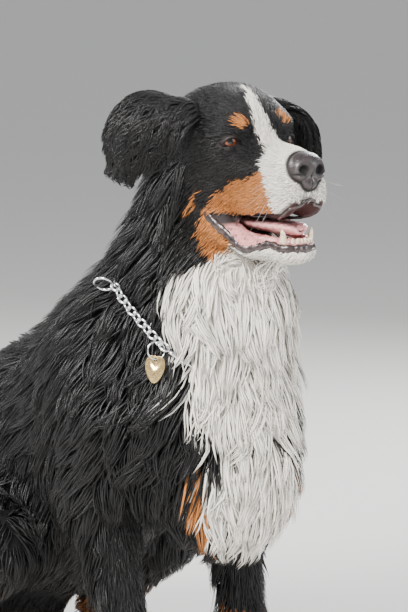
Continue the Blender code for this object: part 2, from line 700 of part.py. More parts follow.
def ear(name, root, bend, tip, across_root, across_tip):
    """A cupped flap: a lens section swept along a bent line, wide at first and round at its end."""
    root, bend, tip = Vector(root), Vector(bend), Vector(tip)
    base, grow, fall, power = EAR_TAPER
    made = bmesh.new()
    rings = []
    side = 1 if root.y > 0 else -1
    for row in range(EAR_ROWS):
        t = row / EAR_ROWS
        middle = root * (1 - t) ** 2 + bend * 2 * t * (1 - t) + tip * t * t
        along = ((bend - root) * (1 - t) + (tip - bend) * t).normalized()
        across = Vector(across_root).lerp(Vector(across_tip), min(1.0, 1.4 * t))
        across = (across - along * across.dot(along)).normalized()
        out = across.cross(along).normalized() * side
        half = EAR_WIDTH / 2 * (base + grow * t - fall * t * t) * math.sqrt(1 - t**power)
        ring = []
        for i in range(2 * EAR_COLUMNS):
            a = math.pi * i / EAR_COLUMNS
            u = math.cos(a)
            cup = EAR_CUP * (1 - u * u) * (1 - 0.4 * t)
            skin = EAR_THICK / 2 * math.sin(a) * (1 - 0.5 * t)
            ring.append(made.verts.new(middle + across * half * u + out * (cup + skin)))
        rings.append(ring)
    end = made.verts.new(tip)
    count = 2 * EAR_COLUMNS
    made.faces.new(rings[0])
    for low, high in zip(rings, rings[1:]):
        for i in range(count):
            made.faces.new((low[i], low[(i + 1) % count], high[(i + 1) % count], high[i]))
    for i in range(count):
        made.faces.new((rings[-1][i], rings[-1][(i + 1) % count], end))
    return from_bmesh(name, made)


def tube(name, points, radius, sides, closed):
    """A round wire through points, with flat ends or as a ring."""
    curve = bpy.data.curves.new(name, "CURVE")
    curve.dimensions = "3D"
    curve.bevel_depth = radius
    curve.bevel_resolution = max(0, (sides - 4) // 2)
    curve.use_fill_caps = not closed
    line = curve.splines.new("POLY")
    line.points.add(len(points) - 1)
    for knot, point in zip(line.points, points):
        knot.co = (*point, 1.0)
    line.use_cyclic_u = closed
    guide = bpy.data.objects.new(name, curve)
    HELPERS.objects.link(guide)
    bpy.context.view_layer.update()
    mesh = bpy.data.meshes.new_from_object(guide)
    bpy.data.objects.remove(guide)
    bpy.data.curves.remove(curve)
    made = bmesh.new()
    made.from_mesh(mesh)
    bpy.data.meshes.remove(mesh)
    bmesh.ops.remove_doubles(made, verts=made.verts, dist=1e-6)
    return from_bmesh(name, made)


def ring_points(centre, first, second, long, short, count):
    """Points round an ellipse in the plane of two directions."""
    return [
        centre
        + first * long * math.cos(2 * math.pi * i / count)
        + second * short * math.sin(2 * math.pi * i / count)
        for i in range(count)
    ]


HEAD = Matrix.Translation((EYE_REACH, 0.0, EYE_HEIGHT)) @ Matrix.Rotation(HEAD_TURN, 4, "Z")


def head_part(name, balls, bones, voxel, triangles):
    obj = fused(name, balls, bones, voxel, triangles)
    obj.data.transform(HEAD)
    return obj


def facing(side):
    """The way an eye looks."""
    return Vector((math.cos(EYE_OUTWARD), side * math.sin(EYE_OUTWARD), 0.03)).normalized()


def cone(name, foot, radius, height, lean):
    """A tooth or a claw: a tapered point with a blunt end."""
    made = bmesh.new()
    matrix = Matrix.Translation(foot) @ lean.to_track_quat("Z", "Y").to_matrix().to_4x4()
    bmesh.ops.create_cone(
        made, cap_ends=True, segments=TOOTH_SIDES, radius1=radius, radius2=radius * 0.25,
        depth=height, matrix=matrix @ Matrix.Translation((0.0, 0.0, height / 2)),
    )
    return from_bmesh(name, made)


def heart(name, hole, down, side, out):
    """A flat heart with its point down and a hole near its top."""
    made = bmesh.new()
    faces = []
    for depth in (-TAG_THICK / 2, TAG_THICK / 2):
        ring = []
        for i in range(TAG_POINTS):
            t = 2 * math.pi * i / TAG_POINTS
            u = math.sin(t) ** 3 * TAG_WIDTH / 2
            v = sum(share * math.cos(k * t) for k, share in enumerate(HEART_WAVES, 1))
            v = min(v, TAG_LOBE[0] + (v - TAG_LOBE[0]) * TAG_LOBE[1]) - TAG_HOLE_AT
            ring.append(made.verts.new(hole + side * u - down * v * TAG_HEIGHT + out * depth))
        faces.append(ring)
    for i in range(TAG_POINTS):
        j = (i + 1) % TAG_POINTS
        made.faces.new((faces[0][i], faces[0][j], faces[1][j], faces[1][i]))
    made.faces.new(faces[0])
    made.faces.new(faces[1])
    bmesh.ops.remove_doubles(made, verts=made.verts, dist=1e-5)
    obj = from_bmesh(name, made)
    drill = bmesh.new()
    turn = out.to_track_quat("Z", "Y").to_matrix().to_4x4()
    bmesh.ops.create_cone(
        drill, cap_ends=True, segments=RING_POINTS, radius1=TAG_HOLE, radius2=TAG_HOLE,
        depth=TAG_THICK * 4, matrix=Matrix.Translation(hole) @ turn,
    )
    drill = from_bmesh("drill", drill)
    boolean(obj, drill, "DIFFERENCE")
    drop(drill)
    return obj


# Flesh with its undercoat
body = fused("body", BODY_BALLS + toe_rows(), BODY_BONES, CORE_VOXEL, CORE_TRIANGLES)
skull = head_part("skull", SKULL_BALLS + LID_BALLS, SKULL_BONES, HEAD_VOXEL, HEAD_TRIANGLES)
jaw = head_part("jaw", JAW_BALLS, JAW_BONES, HEAD_VOXEL, JAW_TRIANGLES)
joined(skull, [jaw])
joined(body, [skull])
body_tree = tree_of(body)

# Path of the collar on the core
sideways = Vector((0.0, 1.0, 0.0))
forwards = sideways.cross(COLLAR_SLOPE).normalized()
loop = []
for i in range(COLLAR_STATIONS):
    a = 2 * math.pi * i / COLLAR_STATIONS
    out = forwards * math.cos(a) + sideways * math.sin(a)
    place, normal, _, _ = body_tree.ray_cast(COLLAR_MIDDLE + out * 0.5, -out)
    loop.append(place + out * COLLAR_LIFT)

# Links at even steps along the part of the loop that shows
seen = loop[CHAIN_FIRST : CHAIN_LAST + 1]
reach = [0.0]
for a, b in zip(seen, seen[1:]):
    reach.append(reach[-1] + (b - a).length)
chain_places = []
for i in range(int(reach[-1] / LINK_PITCH) + 1):
    want = i * LINK_PITCH
    k = max(j for j in range(len(seen) - 1) if reach[j] <= want)
    share = (want - reach[k]) / (reach[k + 1] - reach[k])
    place = seen[k].lerp(seen[k + 1], share)
    along = (seen[k + 1] - seen[k]).normalized()
    out = (place - COLLAR_MIDDLE).cross(along).cross(along).normalized() * -1
    chain_places.append((place, along, out))

# The tag hangs from a ring under the chain, against the coat
hang = chain_places[round(TAG_SHARE * len(chain_places))][0]
_, tag_out = on_core(body_tree, hang)
tag_down = (Vector((0.0, 0.0, -1.0)) + tag_out * tag_out.z).normalized()
tag_side = tag_down.cross(tag_out).normalized()
ring_middle = hang + tag_down * (TAG_RING_RADIUS + TAG_RING_WIRE) + tag_out * TAG_LIFT
tag_hole = ring_middle + tag_down * TAG_RING_RADIUS
tag_middle = tag_hole + tag_down * TAG_HEIGHT * 0.4

# Locks over the long coat
draw = np.random.default_rng(SEED)
roots = spread_roots(body, draw, ROOT_SPACING)
locks = [lock(f"lock_{i}", body_tree, root, draw) for i, root in enumerate(roots)]
whole = joined(body, locks)
floor = half_space("floor", Vector((0.0, 0.0, 0.0)), Vector((0.0, 0.0, 1.0)))
boolean(whole, floor, "INTERSECT")
drop(floor)
keep_largest(whole)
nodes = {}

# Eyes in their sockets, behind lids
for side, label in ((1, "left"), (-1, "right")):
    centre = HEAD @ Vector((EYE_CENTRE.x, side * EYE_CENTRE.y, EYE_CENTRE.z))
    look = HEAD.to_3x3() @ facing(side)
    opening = almond("opening", centre, look, LID_LENGTH, LID_HEIGHT, LID_DEPTH)
    boolean(whole, opening, "DIFFERENCE")
    socket = ellipsoid("socket", centre, [EYE_RADIUS + SOCKET_GAP] * 3, EYE_COLUMNS, EYE_ROWS)
    boolean(whole, socket, "DIFFERENCE")
    drop(opening, socket)
    ball = ellipsoid("eye_" + label, centre, [EYE_RADIUS] * 3, EYE_COLUMNS, EYE_ROWS)
    nodes["eye_" + label] = (ball, "iris_brown")

# Nose with its nostrils, and the tongue
nose = head_part("nose", NOSE_BALLS, (), NOSE_VOXEL, NOSE_TRIANGLES)
tongue = head_part("tongue", TONGUE_BALLS, (), NOSE_VOXEL, TONGUE_TRIANGLES)
for name, obj in (("nose", nose), ("tongue", tongue)):
    clear_of(whole, obj, CLEAR)
    nodes[name] = (obj, name + "_skin")
for centre, radii in (NOSTRIL, NOSTRIL_SLIT):
    for side in (1, -1):
        hole = ellipsoid("hole", (centre[0], side * centre[1], centre[2]), radii)
        hole.data.transform(HEAD)
        boolean(nose, hole, "DIFFERENCE")
        drop(hole)
groove = ellipsoid("groove", *PHILTRUM)
groove.data.transform(HEAD)
boolean(nose, groove, "DIFFERENCE")
drop(groove)

# Ears, clear of the head
for name, row in EARS.items():
    flap = ear(name, *row)
    flap.data.transform(HEAD)
    clear_of(whole, flap, EAR_CLEAR)
    nodes[name] = (flap, "black_coat")
keep_largest(whole)

# Lower teeth, rooted in the jaw
teeth = []
foot, radius, height = LOWER_CANINE
for side in (1, -1):
    lean = Vector((0.15, 0.22 * side, 1.0))
    teeth.append(cone("tooth", Vector((foot[0], side * foot[1], foot[2])), radius, height, lean))
    for x, y in INCISORS:
        low, thick, tall = INCISOR
        teeth.append(cone("tooth", Vector((x, side * y, low)), thick, tall, INCISOR_WAY))
for tooth in teeth:
    tooth.data.transform(HEAD)
joined(whole, teeth)

# The collar: links where it shows, a plain wire under the coat, and two rings
links = []
for i, (place, along, out) in enumerate(chain_places):
    flat = out if i % 2 else along.cross(out)
    points = ring_points(place, along, flat, LINK_LONG, LINK_SHORT, LINK_POINTS)
    links.append(tube("link", points, LINK_WIRE, 4, True))
first, along, out = chain_places[0]
ring_at = first - along * (LINK_LONG + RING_RADIUS - RING_WIRE - LINK_WIRE)
across_ring = along.cross(out)
points = ring_points(ring_at, along, across_ring, RING_RADIUS, RING_RADIUS, RING_POINTS)
links.append(tube("end_ring", points, RING_WIRE, 6, True))
turned = tag_side * math.cos(TAG_RING_TURN) + tag_out * math.sin(TAG_RING_TURN)
points = ring_points(ring_middle, tag_down, turned, TAG_RING_RADIUS, TAG_RING_RADIUS, RING_POINTS)
links.append(tube("tag_ring", points, TAG_RING_WIRE, 6, True))
hidden = loop[CHAIN_LAST:] + loop[: CHAIN_FIRST + 1]
wire = tube("wire", hidden, HIDDEN_WIRE, 5, False)
over = [place + out * CHAIN_OPEN for place, along, out in chain_places]
for name, points, radius in (
    ("groove", loop[CHAIN_FIRST - 2 : CHAIN_LAST + 2], GROOVE),
    ("open", over, CHAIN_OPEN),
    ("tag_room", [ring_middle + tag_out * TAG_ROOM, tag_middle + tag_out * TAG_ROOM], TAG_ROOM),
    ("track", hidden, HIDDEN_WIRE + CLEAR),
):
    channel = tube(name, points, radius, 6, False)
    boolean(whole, channel, "DIFFERENCE")
    drop(channel)
for link in links[-2:]:
    clear_of(whole, link, CLEAR)
chain = joined(wire, links)
nodes["collar_chain"] = (keep_largest(chain), "chrome_steel")

tag = heart("collar_tag", tag_hole, tag_down, tag_side, tag_out)
clear_of(whole, tag, CLEAR)
nodes["collar_tag"] = (tag, "tag_brass")
keep_largest(whole)

# Claws
claws = []
for forward, side in TOE_ROWS:
    for mirror in (1, -1):
        for i in range(TOES):
            step = i - (TOES - 1) / 2
            ahead = forward - TOE_CURVE * step * step + CLAW_AHEAD
            foot = Vector((ahead, mirror * (side + step * TOE_PITCH), CLAW_HEIGHT))
            claws.append(cone("claw", foot, CLAW_RADIUS, CLAW_LENGTH, CLAW_WAY))
joined(whole, claws)

# Part the body into nodes
neck_point = COLLAR_MIDDLE + COLLAR_SLOPE.normalized() * NECK_ABOVE_COLLAR
nodes["head"] = (split(whole, "head", *HEAD_CUT), "black_coat")
nodes["neck"] = (split(whole, "neck", neck_point, COLLAR_SLOPE), "black_coat")
nodes["tail"] = (take(whole, "tail", *TAIL_BLOCK), "black_coat")
for side, label in ((1, "left"), (-1, "right")):
    leg = take(whole, "thigh", *sided(THIGH_BLOCK, side))
    nodes["hind_paw_" + label] = (take(leg, "hind_paw", *sided(HIND_PAW_BLOCK, side)), "white_coat")
    nodes["thigh_" + label] = (leg, "black_coat")
    leg = take(whole, "foreleg", *sided(FORELEG_BLOCK, side))
    nodes["forepaw_" + label] = (take(leg, "forepaw", *sided(FOREPAW_BLOCK, side)), "white_coat")
    nodes["foreleg_" + label] = (leg, "rust_coat")
nodes["chest"] = (split(whole, "chest", *CHEST_CUT), "white_coat")
nodes["hindquarters"] = (whole, "black_coat")


def finish(obj, name, slot):
    keep_largest(obj)
    for where in list(obj.users_collection):
        where.objects.unlink(obj)
    DOG.objects.link(obj)
    obj.name = name
    obj.data.name = name
    obj.hide_render = False
    obj.display_type = "TEXTURED"
    obj.data.materials.clear()
    obj.data.materials.append(materials[slot])
    smooth = name.startswith(("eye", "nose", "tongue"))
    obj.data.polygons.foreach_set("use_smooth", [smooth] * len(obj.data.polygons))


materials = {}
for slot, (color, roughness, metallic) in FINISHES.items():
    material = bpy.data.materials.new(slot)
    material.use_nodes = True
    shader = material.node_tree.nodes["Principled BSDF"]
    shader.inputs["Base Color"].default_value = (*color, 1.0)
    shader.inputs["Roughness"].default_value = roughness
    shader.inputs["Metallic"].default_value = metallic
    materials[slot] = material
for name, (obj, slot) in nodes.items():
    finish(obj, name, slot)
corners = [v.co for obj in DOG.objects for v in obj.data.vertices]
low = Vector([min(c[i] for c in corners) for i in range(3)])
high = Vector([max(c[i] for c in corners) for i in range(3)])
shift = Vector((-(low.x + high.x) / 2, -(low.y + high.y) / 2, -low.z))
for obj in DOG.objects:
    obj.data.transform(Matrix.Translation(shift))
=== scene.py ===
# %% [markdown]
# # A life-size Bernese mountain dog
#
# This lesson dresses a museum model of a seated Bernese mountain dog. The frame gives the solids
# of the body; here they get one smooth skin, a coat of many thousand tufts, and a face with
# lids, lips, teeth and a wet nose. Every length is in metres, the dog faces +X and up is +Z.
# Shapes are worked out from the middle of the dog's seat and moved onto the frame at the end.

# %% Load the frame
import math

import bmesh
import bpy
import numpy as np
from mathutils import Matrix, Vector


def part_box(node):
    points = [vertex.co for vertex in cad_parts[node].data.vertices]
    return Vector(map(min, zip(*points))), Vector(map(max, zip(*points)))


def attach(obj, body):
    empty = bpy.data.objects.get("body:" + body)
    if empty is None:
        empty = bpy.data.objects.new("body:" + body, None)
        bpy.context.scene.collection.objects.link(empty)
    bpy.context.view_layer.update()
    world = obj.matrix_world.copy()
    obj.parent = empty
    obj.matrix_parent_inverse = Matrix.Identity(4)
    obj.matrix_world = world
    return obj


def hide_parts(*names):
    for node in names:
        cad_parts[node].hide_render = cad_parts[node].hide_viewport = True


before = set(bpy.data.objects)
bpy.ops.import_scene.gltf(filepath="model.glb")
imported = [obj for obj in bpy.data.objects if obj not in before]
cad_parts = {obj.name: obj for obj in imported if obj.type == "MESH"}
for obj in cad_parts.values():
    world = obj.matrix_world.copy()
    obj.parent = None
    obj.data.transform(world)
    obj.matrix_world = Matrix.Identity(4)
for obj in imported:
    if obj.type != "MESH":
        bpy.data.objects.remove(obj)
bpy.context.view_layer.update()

# %% [markdown]
# ## Where the head is
#
# The head has axes of its own: it is turned a little to the dog's right, and its zero is half
# way between the eyes. The middle of the two eye solids tells how far the frame was moved from
# the middle of the seat, so everything else can be placed by the same sizes as the solids.

# %% Places of the head and of the frame
EYE_REACH = 0.68
EYE_HEIGHT = 0.8
HEAD_TURN = math.radians(-2.5)
EYE_CENTRE = np.array([-0.0095, 0.0445, 0.0])
HEAD_MIDDLE = np.array([-0.01, 0.0, -0.05])
HEAD_PLACE = np.array([EYE_REACH, 0.0, EYE_HEIGHT])
HEAD_AXES = np.array([
    [math.cos(HEAD_TURN), -math.sin(HEAD_TURN), 0.0],
    [math.sin(HEAD_TURN), math.cos(HEAD_TURN), 0.0],
    [0.0, 0.0, 1.0],
])


def from_head(points):
    """Head places to body places: turned by the head's axes, then moved to the eyes."""
    return np.asarray(points) @ HEAD_AXES.T + HEAD_PLACE


def to_head(points):
    """Body places to head places, the other way round."""
    return (np.asarray(points) - HEAD_PLACE) @ HEAD_AXES


def lengths_of(vectors):
    """The length of each vector."""
    return np.linalg.norm(vectors, axis=-1)


def unit(vectors):
    """Vectors divided by their own length."""
    return vectors / (lengths_of(vectors)[..., None] + 1e-12)


eye_middles = [np.mean(np.array(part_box(node)), axis=0) for node in ("eye_left", "eye_right")]
SHIFT = np.mean(eye_middles, axis=0) - from_head([EYE_CENTRE[0], 0.0, 0.0])
print("frame moved by", SHIFT.round(4))

# %% [markdown]
# ## The camera
#
# The photograph looks at the dog from its right front, a little from above. The scale there is
# 775 pixels to the metre at the eyes, and the middle of the eyes is 260.3 pixels from the left
# and 140 from the top. A long lens far away keeps the head's proportions.

# %% Camera
PHOTO_SIZE = (408, 612)
PHOTO_SCALE = 775.0
PHOTO_EYES = (260.3, 140.0)
AZIMUTH = math.radians(50)
ELEVATION = math.radians(7)
DISTANCE = 3.4
SENSOR = 36.0
camera_right = np.array([math.cos(AZIMUTH), math.sin(AZIMUTH), 0.0])
camera_back = np.array([
    math.sin(AZIMUTH) * math.cos(ELEVATION),
    -math.cos(AZIMUTH) * math.cos(ELEVATION),
    math.sin(ELEVATION),
])
camera_up = np.cross(camera_back, camera_right)
aim = (
    HEAD_PLACE + SHIFT
    + camera_right * (PHOTO_SIZE[0] / 2 - PHOTO_EYES[0]) / PHOTO_SCALE
    - camera_up * (PHOTO_SIZE[1] / 2 - PHOTO_EYES[1]) / PHOTO_SCALE
)


def show(name, data):
    """A new object in the scene for a mesh, a lamp or the camera."""
    obj = bpy.data.objects.new(name, data)
    bpy.context.scene.collection.objects.link(obj)
    return obj


camera_data = bpy.data.cameras.new("camera")
camera_data.sensor_width = SENSOR
camera_data.lens = PHOTO_SCALE * DISTANCE / PHOTO_SIZE[1] * SENSOR
camera = show("camera", camera_data)
camera.matrix_world = Matrix.Translation(aim + camera_back * DISTANCE) @ Matrix(
    np.stack([camera_right, camera_up, camera_back], axis=1)
).to_4x4()
bpy.context.scene.camera = camera
print("lens", round(camera_data.lens, 1), "mm")

# %% [markdown]
# ## Light
#
# Soft boxes such as a museum uses: a large key light high on the dog's right front, a weaker
# fill from its left, and two lamps behind that draw shine along the black coat.

# %% Lights
LIT_PLACE = Vector((0.15, 0.0, 0.5))


def soft_box(name, place, size, power, tint):
    """A square lamp that faces the middle of the dog."""
    lamp = bpy.data.lights.new(name, "AREA")
    lamp.size = size
    lamp.energy = power
    lamp.color = tint
    turn = (LIT_PLACE - Vector(place)).to_track_quat("-Z", "Y").to_matrix().to_4x4()
    show(name, lamp).matrix_world = Matrix.Translation(place) @ turn


soft_box("key", (1.6, -2.6, 2.7), 1.3, 300.0, (1.0, 0.97, 0.93))
soft_box("fill", (3.2, 1.8, 1.4), 2.2, 85.0, (0.93, 0.96, 1.0))
soft_box("rim_right", (-2.0, -1.8, 2.3), 1.0, 110.0, (1.0, 1.0, 1.0))
soft_box("rim_left", (-1.0, 2.6, 2.2), 1.0, 100.0, (1.0, 1.0, 1.0))
world = bpy.data.worlds.new("studio")
world.use_nodes = True
world.node_tree.nodes["Background"].inputs["Color"].default_value = (0.8, 0.82, 0.84, 1.0)
world.node_tree.nodes["Background"].inputs["Strength"].default_value = 0.72
bpy.context.scene.world = world

# %% [markdown]
# ## Meshes from arrays
#
# Every new piece is a block of points on a grid and the faces between them. One helper puts the
# arrays into a mesh and adds the frame's shift; another hangs the piece on the body it rides on.

# %% Helpers for meshes


def put_mesh(name, points, face_blocks):
    """A smooth mesh object from points in body places and blocks of faces, one block per corner count."""
    mesh = bpy.data.meshes.new(name)
    corners = np.concatenate([block.ravel() for block in face_blocks]).astype(np.int32)
    counts = np.concatenate([np.full(len(block), block.shape[1]) for block in face_blocks])
    starts = np.concatenate([[0], np.cumsum(counts)[:-1]]).astype(np.int32)
    mesh.vertices.add(len(points))
    mesh.vertices.foreach_set("co", (points + SHIFT).astype(np.float32).ravel())
    mesh.loops.add(len(corners))
    mesh.loops.foreach_set("vertex_index", corners)
    mesh.polygons.add(len(counts))
    mesh.polygons.foreach_set("loop_start", starts)
    mesh.polygons.foreach_set("use_smooth", np.full(len(counts), True))
    mesh.update(calc_edges=True)
    return show(name, mesh)


def full_turn(count):
    """Angles at even steps round a circle."""
    return np.arange(count) * 2 * math.pi / count


def grid_faces(rows, columns, wrap):
    """Quads of a grid of rows by columns; wrap joins the last column to the first."""
    across = columns if wrap else columns - 1
    i, j = np.meshgrid(np.arange(rows - 1), np.arange(across), indexing="ij")
    k = (j + 1) % columns
    quads = np.stack([i * columns + j, i * columns + k, (i + 1) * columns + k, (i + 1) * columns + j], -1)
    return quads.reshape(-1, 4)


def tube_faces(rows, columns):
    """Quads of a closed tube, and fans to the two end points that follow it in the list of points."""
    j = np.arange(columns)
    k = (j + 1) % columns
    count = rows * columns
    base = count - columns
    first = np.stack([k, j, np.full(columns, count)], 1)
    last = np.stack([base + j, base + k, np.full(columns, count + 1)], 1)
    return grid_faces(rows, columns, True), np.vstack([first, last])


def ring_faces(rows, columns):
    """Quads of a tube that is bent round to meet its own start."""
    return grid_faces(rows + 1, columns, True) % (rows * columns)


def turned(blocks):
    """The same faces seen from their other side."""
    return [block[:, ::-1] for block in blocks]


def repeated(blocks, count, each):
    """The same faces for many copies of a shape with that many points each."""
    offsets = (np.arange(count) * each)[:, None, None]
    return [(block + offsets).reshape(-1, block.shape[1]) for block in blocks]


def read_points(obj):
    """A piece's vertices as an array of body places."""
    flat = np.empty(len(obj.data.vertices) * 3)
    obj.data.vertices.foreach_get("co", flat)
    return flat.reshape(-1, 3) - SHIFT


def move_points(obj, points):
    """Puts a piece's vertices at these body places, and shades it smooth."""
    obj.data.vertices.foreach_set("co", (points + SHIFT).astype(np.float32).ravel())
    obj.data.update()
    obj.data.polygons.foreach_set("use_smooth", np.full(len(obj.data.polygons), True))


def dress(obj, material, slot, *nodes):
    """A piece's material and body, and the solids that it stands in for; the slot is not used."""
    obj.data.materials.append(material)
    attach(obj, "root")
    if nodes:
        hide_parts(*nodes)
    return obj


def apply_modifiers(obj):
    """Replaces the object's mesh by what its modifiers make of it."""
    bpy.context.view_layer.update()
    graph = bpy.context.evaluated_depsgraph_get()
    made = bpy.data.meshes.new_from_object(obj.evaluated_get(graph))
    obj.modifiers.clear()
    obj.data = made
    return obj


def fix_normals(obj):
    """Faces of each closed shape turned to point out."""
    made = bmesh.new()
    made.from_mesh(obj.data)
    bmesh.ops.recalc_face_normals(made, faces=made.faces)
    made.to_mesh(obj.data)
    made.free()


print("faces of a tube of 3 rings of 4 points:", [len(block) for block in tube_faces(3, 4)])

# %% [markdown]
# ## The forms of the body
#
# Under the coat a dog is a few big masses: ribs, rump, shoulder, thigh and neck. Each is an
# ellipsoid or a tapered rod, and a smooth blend joins them, as clay laid over an armature. A
# field gives the distance to that blend anywhere, so the same rule makes the skin and later
# holds the coat at the right height above it. A row with a side place is made on both sides.

# %% Forms of flesh: centre, radii, tilt, blend
BODY_BALLS = (
    ((0.412, 0, 0.41), (0.222, 0.13, 0.146), 35, 0.05),  # ribs
    ((0.57, 0, 0.458), (0.1, 0.116, 0.13), 10, 0.05),  # forechest
    ((0.602, 0, 0.34), (0.078, 0.092, 0.08), 0, 0.05),  # brisket
    ((0.375, 0, 0.508), (0.11, 0.08, 0.068), 32, 0.05),  # withers
    ((0.26, 0, 0.275), (0.15, 0.118, 0.12), 45, 0.05),  # belly
    ((0.205, 0, 0.352), (0.165, 0.11, 0.116), 45, 0.05),  # loin
    ((0.07, 0, 0.185), (0.125, 0.125, 0.135), 42, 0.05),  # rump
    ((0.045, 0, 0.085), (0.095, 0.12, 0.088), 0, 0.05),  # seat
    ((0.612, 0, 0.59), (0.072, 0.082, 0.09), 0, 0.05),  # throat
    ((0.47, 0.085, 0.455), (0.08, 0.052, 0.12), -12, 0.04),  # shoulder blade
    ((0.575, 0.105, 0.028), (0.052, 0.037, 0.027), 0, 0.02),  # forepaw
    ((0.3, 0.192, 0.028), (0.055, 0.037, 0.026), 0, 0.02),  # hind paw
)
BODY_BONES = (
    ((0.485, 0, 0.52), (0.575, 0, 0.715), 0.104, 0.076, 0.05),  # neck
    ((0.51, 0.105, 0.42), (0.48, 0.11, 0.33), 0.058, 0.044, 0.04),  # upper arm
    ((0.485, 0.11, 0.33), (0.535, 0.104, 0.115), 0.038, 0.025, 0.03),  # forearm
    ((0.535, 0.104, 0.115), (0.56, 0.105, 0.045), 0.025, 0.026, 0.02),  # pastern
    ((0.105, 0.095, 0.205), (0.285, 0.155, 0.225), 0.098, 0.058, 0.04),  # thigh
    ((0.295, 0.165, 0.215), (0.11, 0.178, 0.058), 0.048, 0.026, 0.03),  # lower thigh
    ((0.11, 0.178, 0.036), (0.27, 0.19, 0.03), 0.028, 0.024, 0.02),  # hind foot
    ((-0.03, 0, 0.09), (-0.14, -0.01, 0.042), 0.04, 0.032, 0.03),  # tail root
    ((-0.14, -0.01, 0.04), (-0.27, -0.07, 0.033), 0.03, 0.024, 0.02),  # tail
    ((-0.27, -0.07, 0.033), (-0.37, -0.15, 0.023), 0.024, 0.014, 0.02),  # tail end
)
TOES = 4
TOE_RADII = (0.021, 0.0105, 0.014)
TOE_HEIGHT = 0.016
TOE_PITCH = 0.0185
TOE_CURVE = 0.005
TOE_BLEND = 0.004
TOE_ROWS = ((0.617, 0.105), (0.344, 0.192))
print("forms of the body", len(BODY_BALLS + BODY_BONES))

# %% Forms of the head, from the middle of the eyes
SKULL_BALLS = (
    ((-0.075, 0, 0.003), (0.082, 0.07, 0.068), 0, 0.03),  # cranium
    ((-0.038, 0, 0.012), (0.046, 0.057, 0.048), 8, 0.03),  # forehead
    ((-0.009, 0.031, 0.018), (0.022, 0.023, 0.014), 10, 0.02),  # brow
    ((-0.034, 0.053, -0.008), (0.029, 0.02, 0.026), 0, 0.02),  # cheekbone
    ((-0.064, 0.044, -0.052), (0.058, 0.035, 0.052), 0, 0.03),  # cheek
    ((-0.01, 0.038, -0.032), (0.036, 0.022, 0.024), 0, 0.02),  # below the eye
    ((0.046, 0, -0.05), (0.052, 0.041, 0.04), 0, 0.02),  # muzzle sides
    ((0.062, 0.021, -0.066), (0.038, 0.022, 0.032), -4, 0.014),  # flew
    ((0.02, 0.033, -0.074), (0.042, 0.016, 0.023), 6, 0.014),  # back of the flew
    ((-0.075, 0, -0.085), (0.06, 0.052, 0.05), 0, 0.03),  # throat root
    ((-0.009, 0.0445, 0.001), (0.0154, 0.0154, 0.015), 0, 0.006),  # lids
)
SKULL_BONES = (
    ((0, 0, -0.032), (0.074, 0, -0.037), 0.036, 0.029, 0.02),  # bridge
)
JAW_BALLS = (
    ((0.072, 0, -0.141), (0.022, 0.022, 0.013), 0, 0.012),  # chin
    ((0.01, 0, -0.139), (0.07, 0.032, 0.014), -4, 0.012),  # floor of the mouth
    ((-0.05, 0.044, -0.108), (0.044, 0.024, 0.032), -14, 0.02),  # jowl
    ((-0.07, 0, -0.118), (0.06, 0.048, 0.034), 0, 0.02),  # tongue root
    ((-0.042, 0.043, -0.086), (0.03, 0.022, 0.034), 0, 0.02),  # corner of the mouth
)
JAW_BONES = (
    ((-0.06, 0.044, -0.092), (0.02, 0.036, -0.13), 0.026, 0.013, 0.012),  # bar
    ((0.02, 0.036, -0.13), (0.074, 0.017, -0.136), 0.013, 0.011, 0.012),  # bar in front
)
HEAD_COAT = 0.0022  # the solids of the head hold the short coat too
JAW_BLEND = 0.004
NOSE_BALLS = (
    ((0.091, 0, -0.027), (0.019, 0.024, 0.0165), -12, 0.008),  # top of the nose
    ((0.094, 0.015, -0.035), (0.016, 0.01, 0.0125), 0, 0.006),  # wing of the nose
    ((0.0945, 0, -0.049), (0.013, 0.013, 0.01), 0, 0.006),  # foot of the nose
)
print("forms of the head", len(SKULL_BALLS + SKULL_BONES + JAW_BALLS + JAW_BONES + NOSE_BALLS))

# %% Distance to the forms


def close_to(points, middle, reach):
    """Which points lie within reach of a middle."""
    return lengths_of(points - middle) < reach


def both_sides(rows, places):
    """The rows, and the mirror image of each whose first place is off the middle."""
    found = list(rows)
    for row in rows:
        if row[0][1] > 0.0:
            flipped = tuple((x, -y, z) for x, y, z in row[:places])
            found.append(flipped + tuple(row[places:]))
    return found


def toe_places():
    """Four toes in a shallow arc at the front of each paw."""
    found = []
    for forward, side in TOE_ROWS:
        for i in range(TOES):
            step = i - (TOES - 1) / 2
            found.append((forward - TOE_CURVE * step * step, side + step * TOE_PITCH, TOE_HEIGHT))
    return found


TOE_BALLS = tuple((place, TOE_RADII, 0, TOE_BLEND) for place in toe_places())
BODY = (both_sides(BODY_BALLS + TOE_BALLS, 1), both_sides(BODY_BONES, 2))
SKULL = (both_sides(SKULL_BALLS, 1), both_sides(SKULL_BONES, 2))
JAW = (both_sides(JAW_BALLS, 1), both_sides(JAW_BONES, 2))
NOSE = (both_sides(NOSE_BALLS, 1), [])


def ball_distance(points, centre, radii, tilt):
    """Scaled radius times (scaled radius minus one), over how steeply it grows."""
    turn = math.radians(tilt)
    away = points - np.array(centre)
    x = away[:, 0] * math.cos(turn) + away[:, 2] * math.sin(turn)
    z = -away[:, 0] * math.sin(turn) + away[:, 2] * math.cos(turn)
    local = np.stack([x, away[:, 1], z], axis=1)
    size = np.array(radii)
    reach = lengths_of(local / size)
    steepness = lengths_of(local / size**2) + 1e-9
    return reach * (reach - 1.0) / steepness


def bone_distance(points, start, end, first, last):
    """Distance to a line, less a radius that runs evenly from one end to the other."""
    start = np.array(start)
    along = np.array(end) - start
    share = np.clip((points - start) @ along / (along @ along), 0.0, 1.0)
    away = points - start - share[:, None] * along
    return lengths_of(away) - (first + share * (last - first))


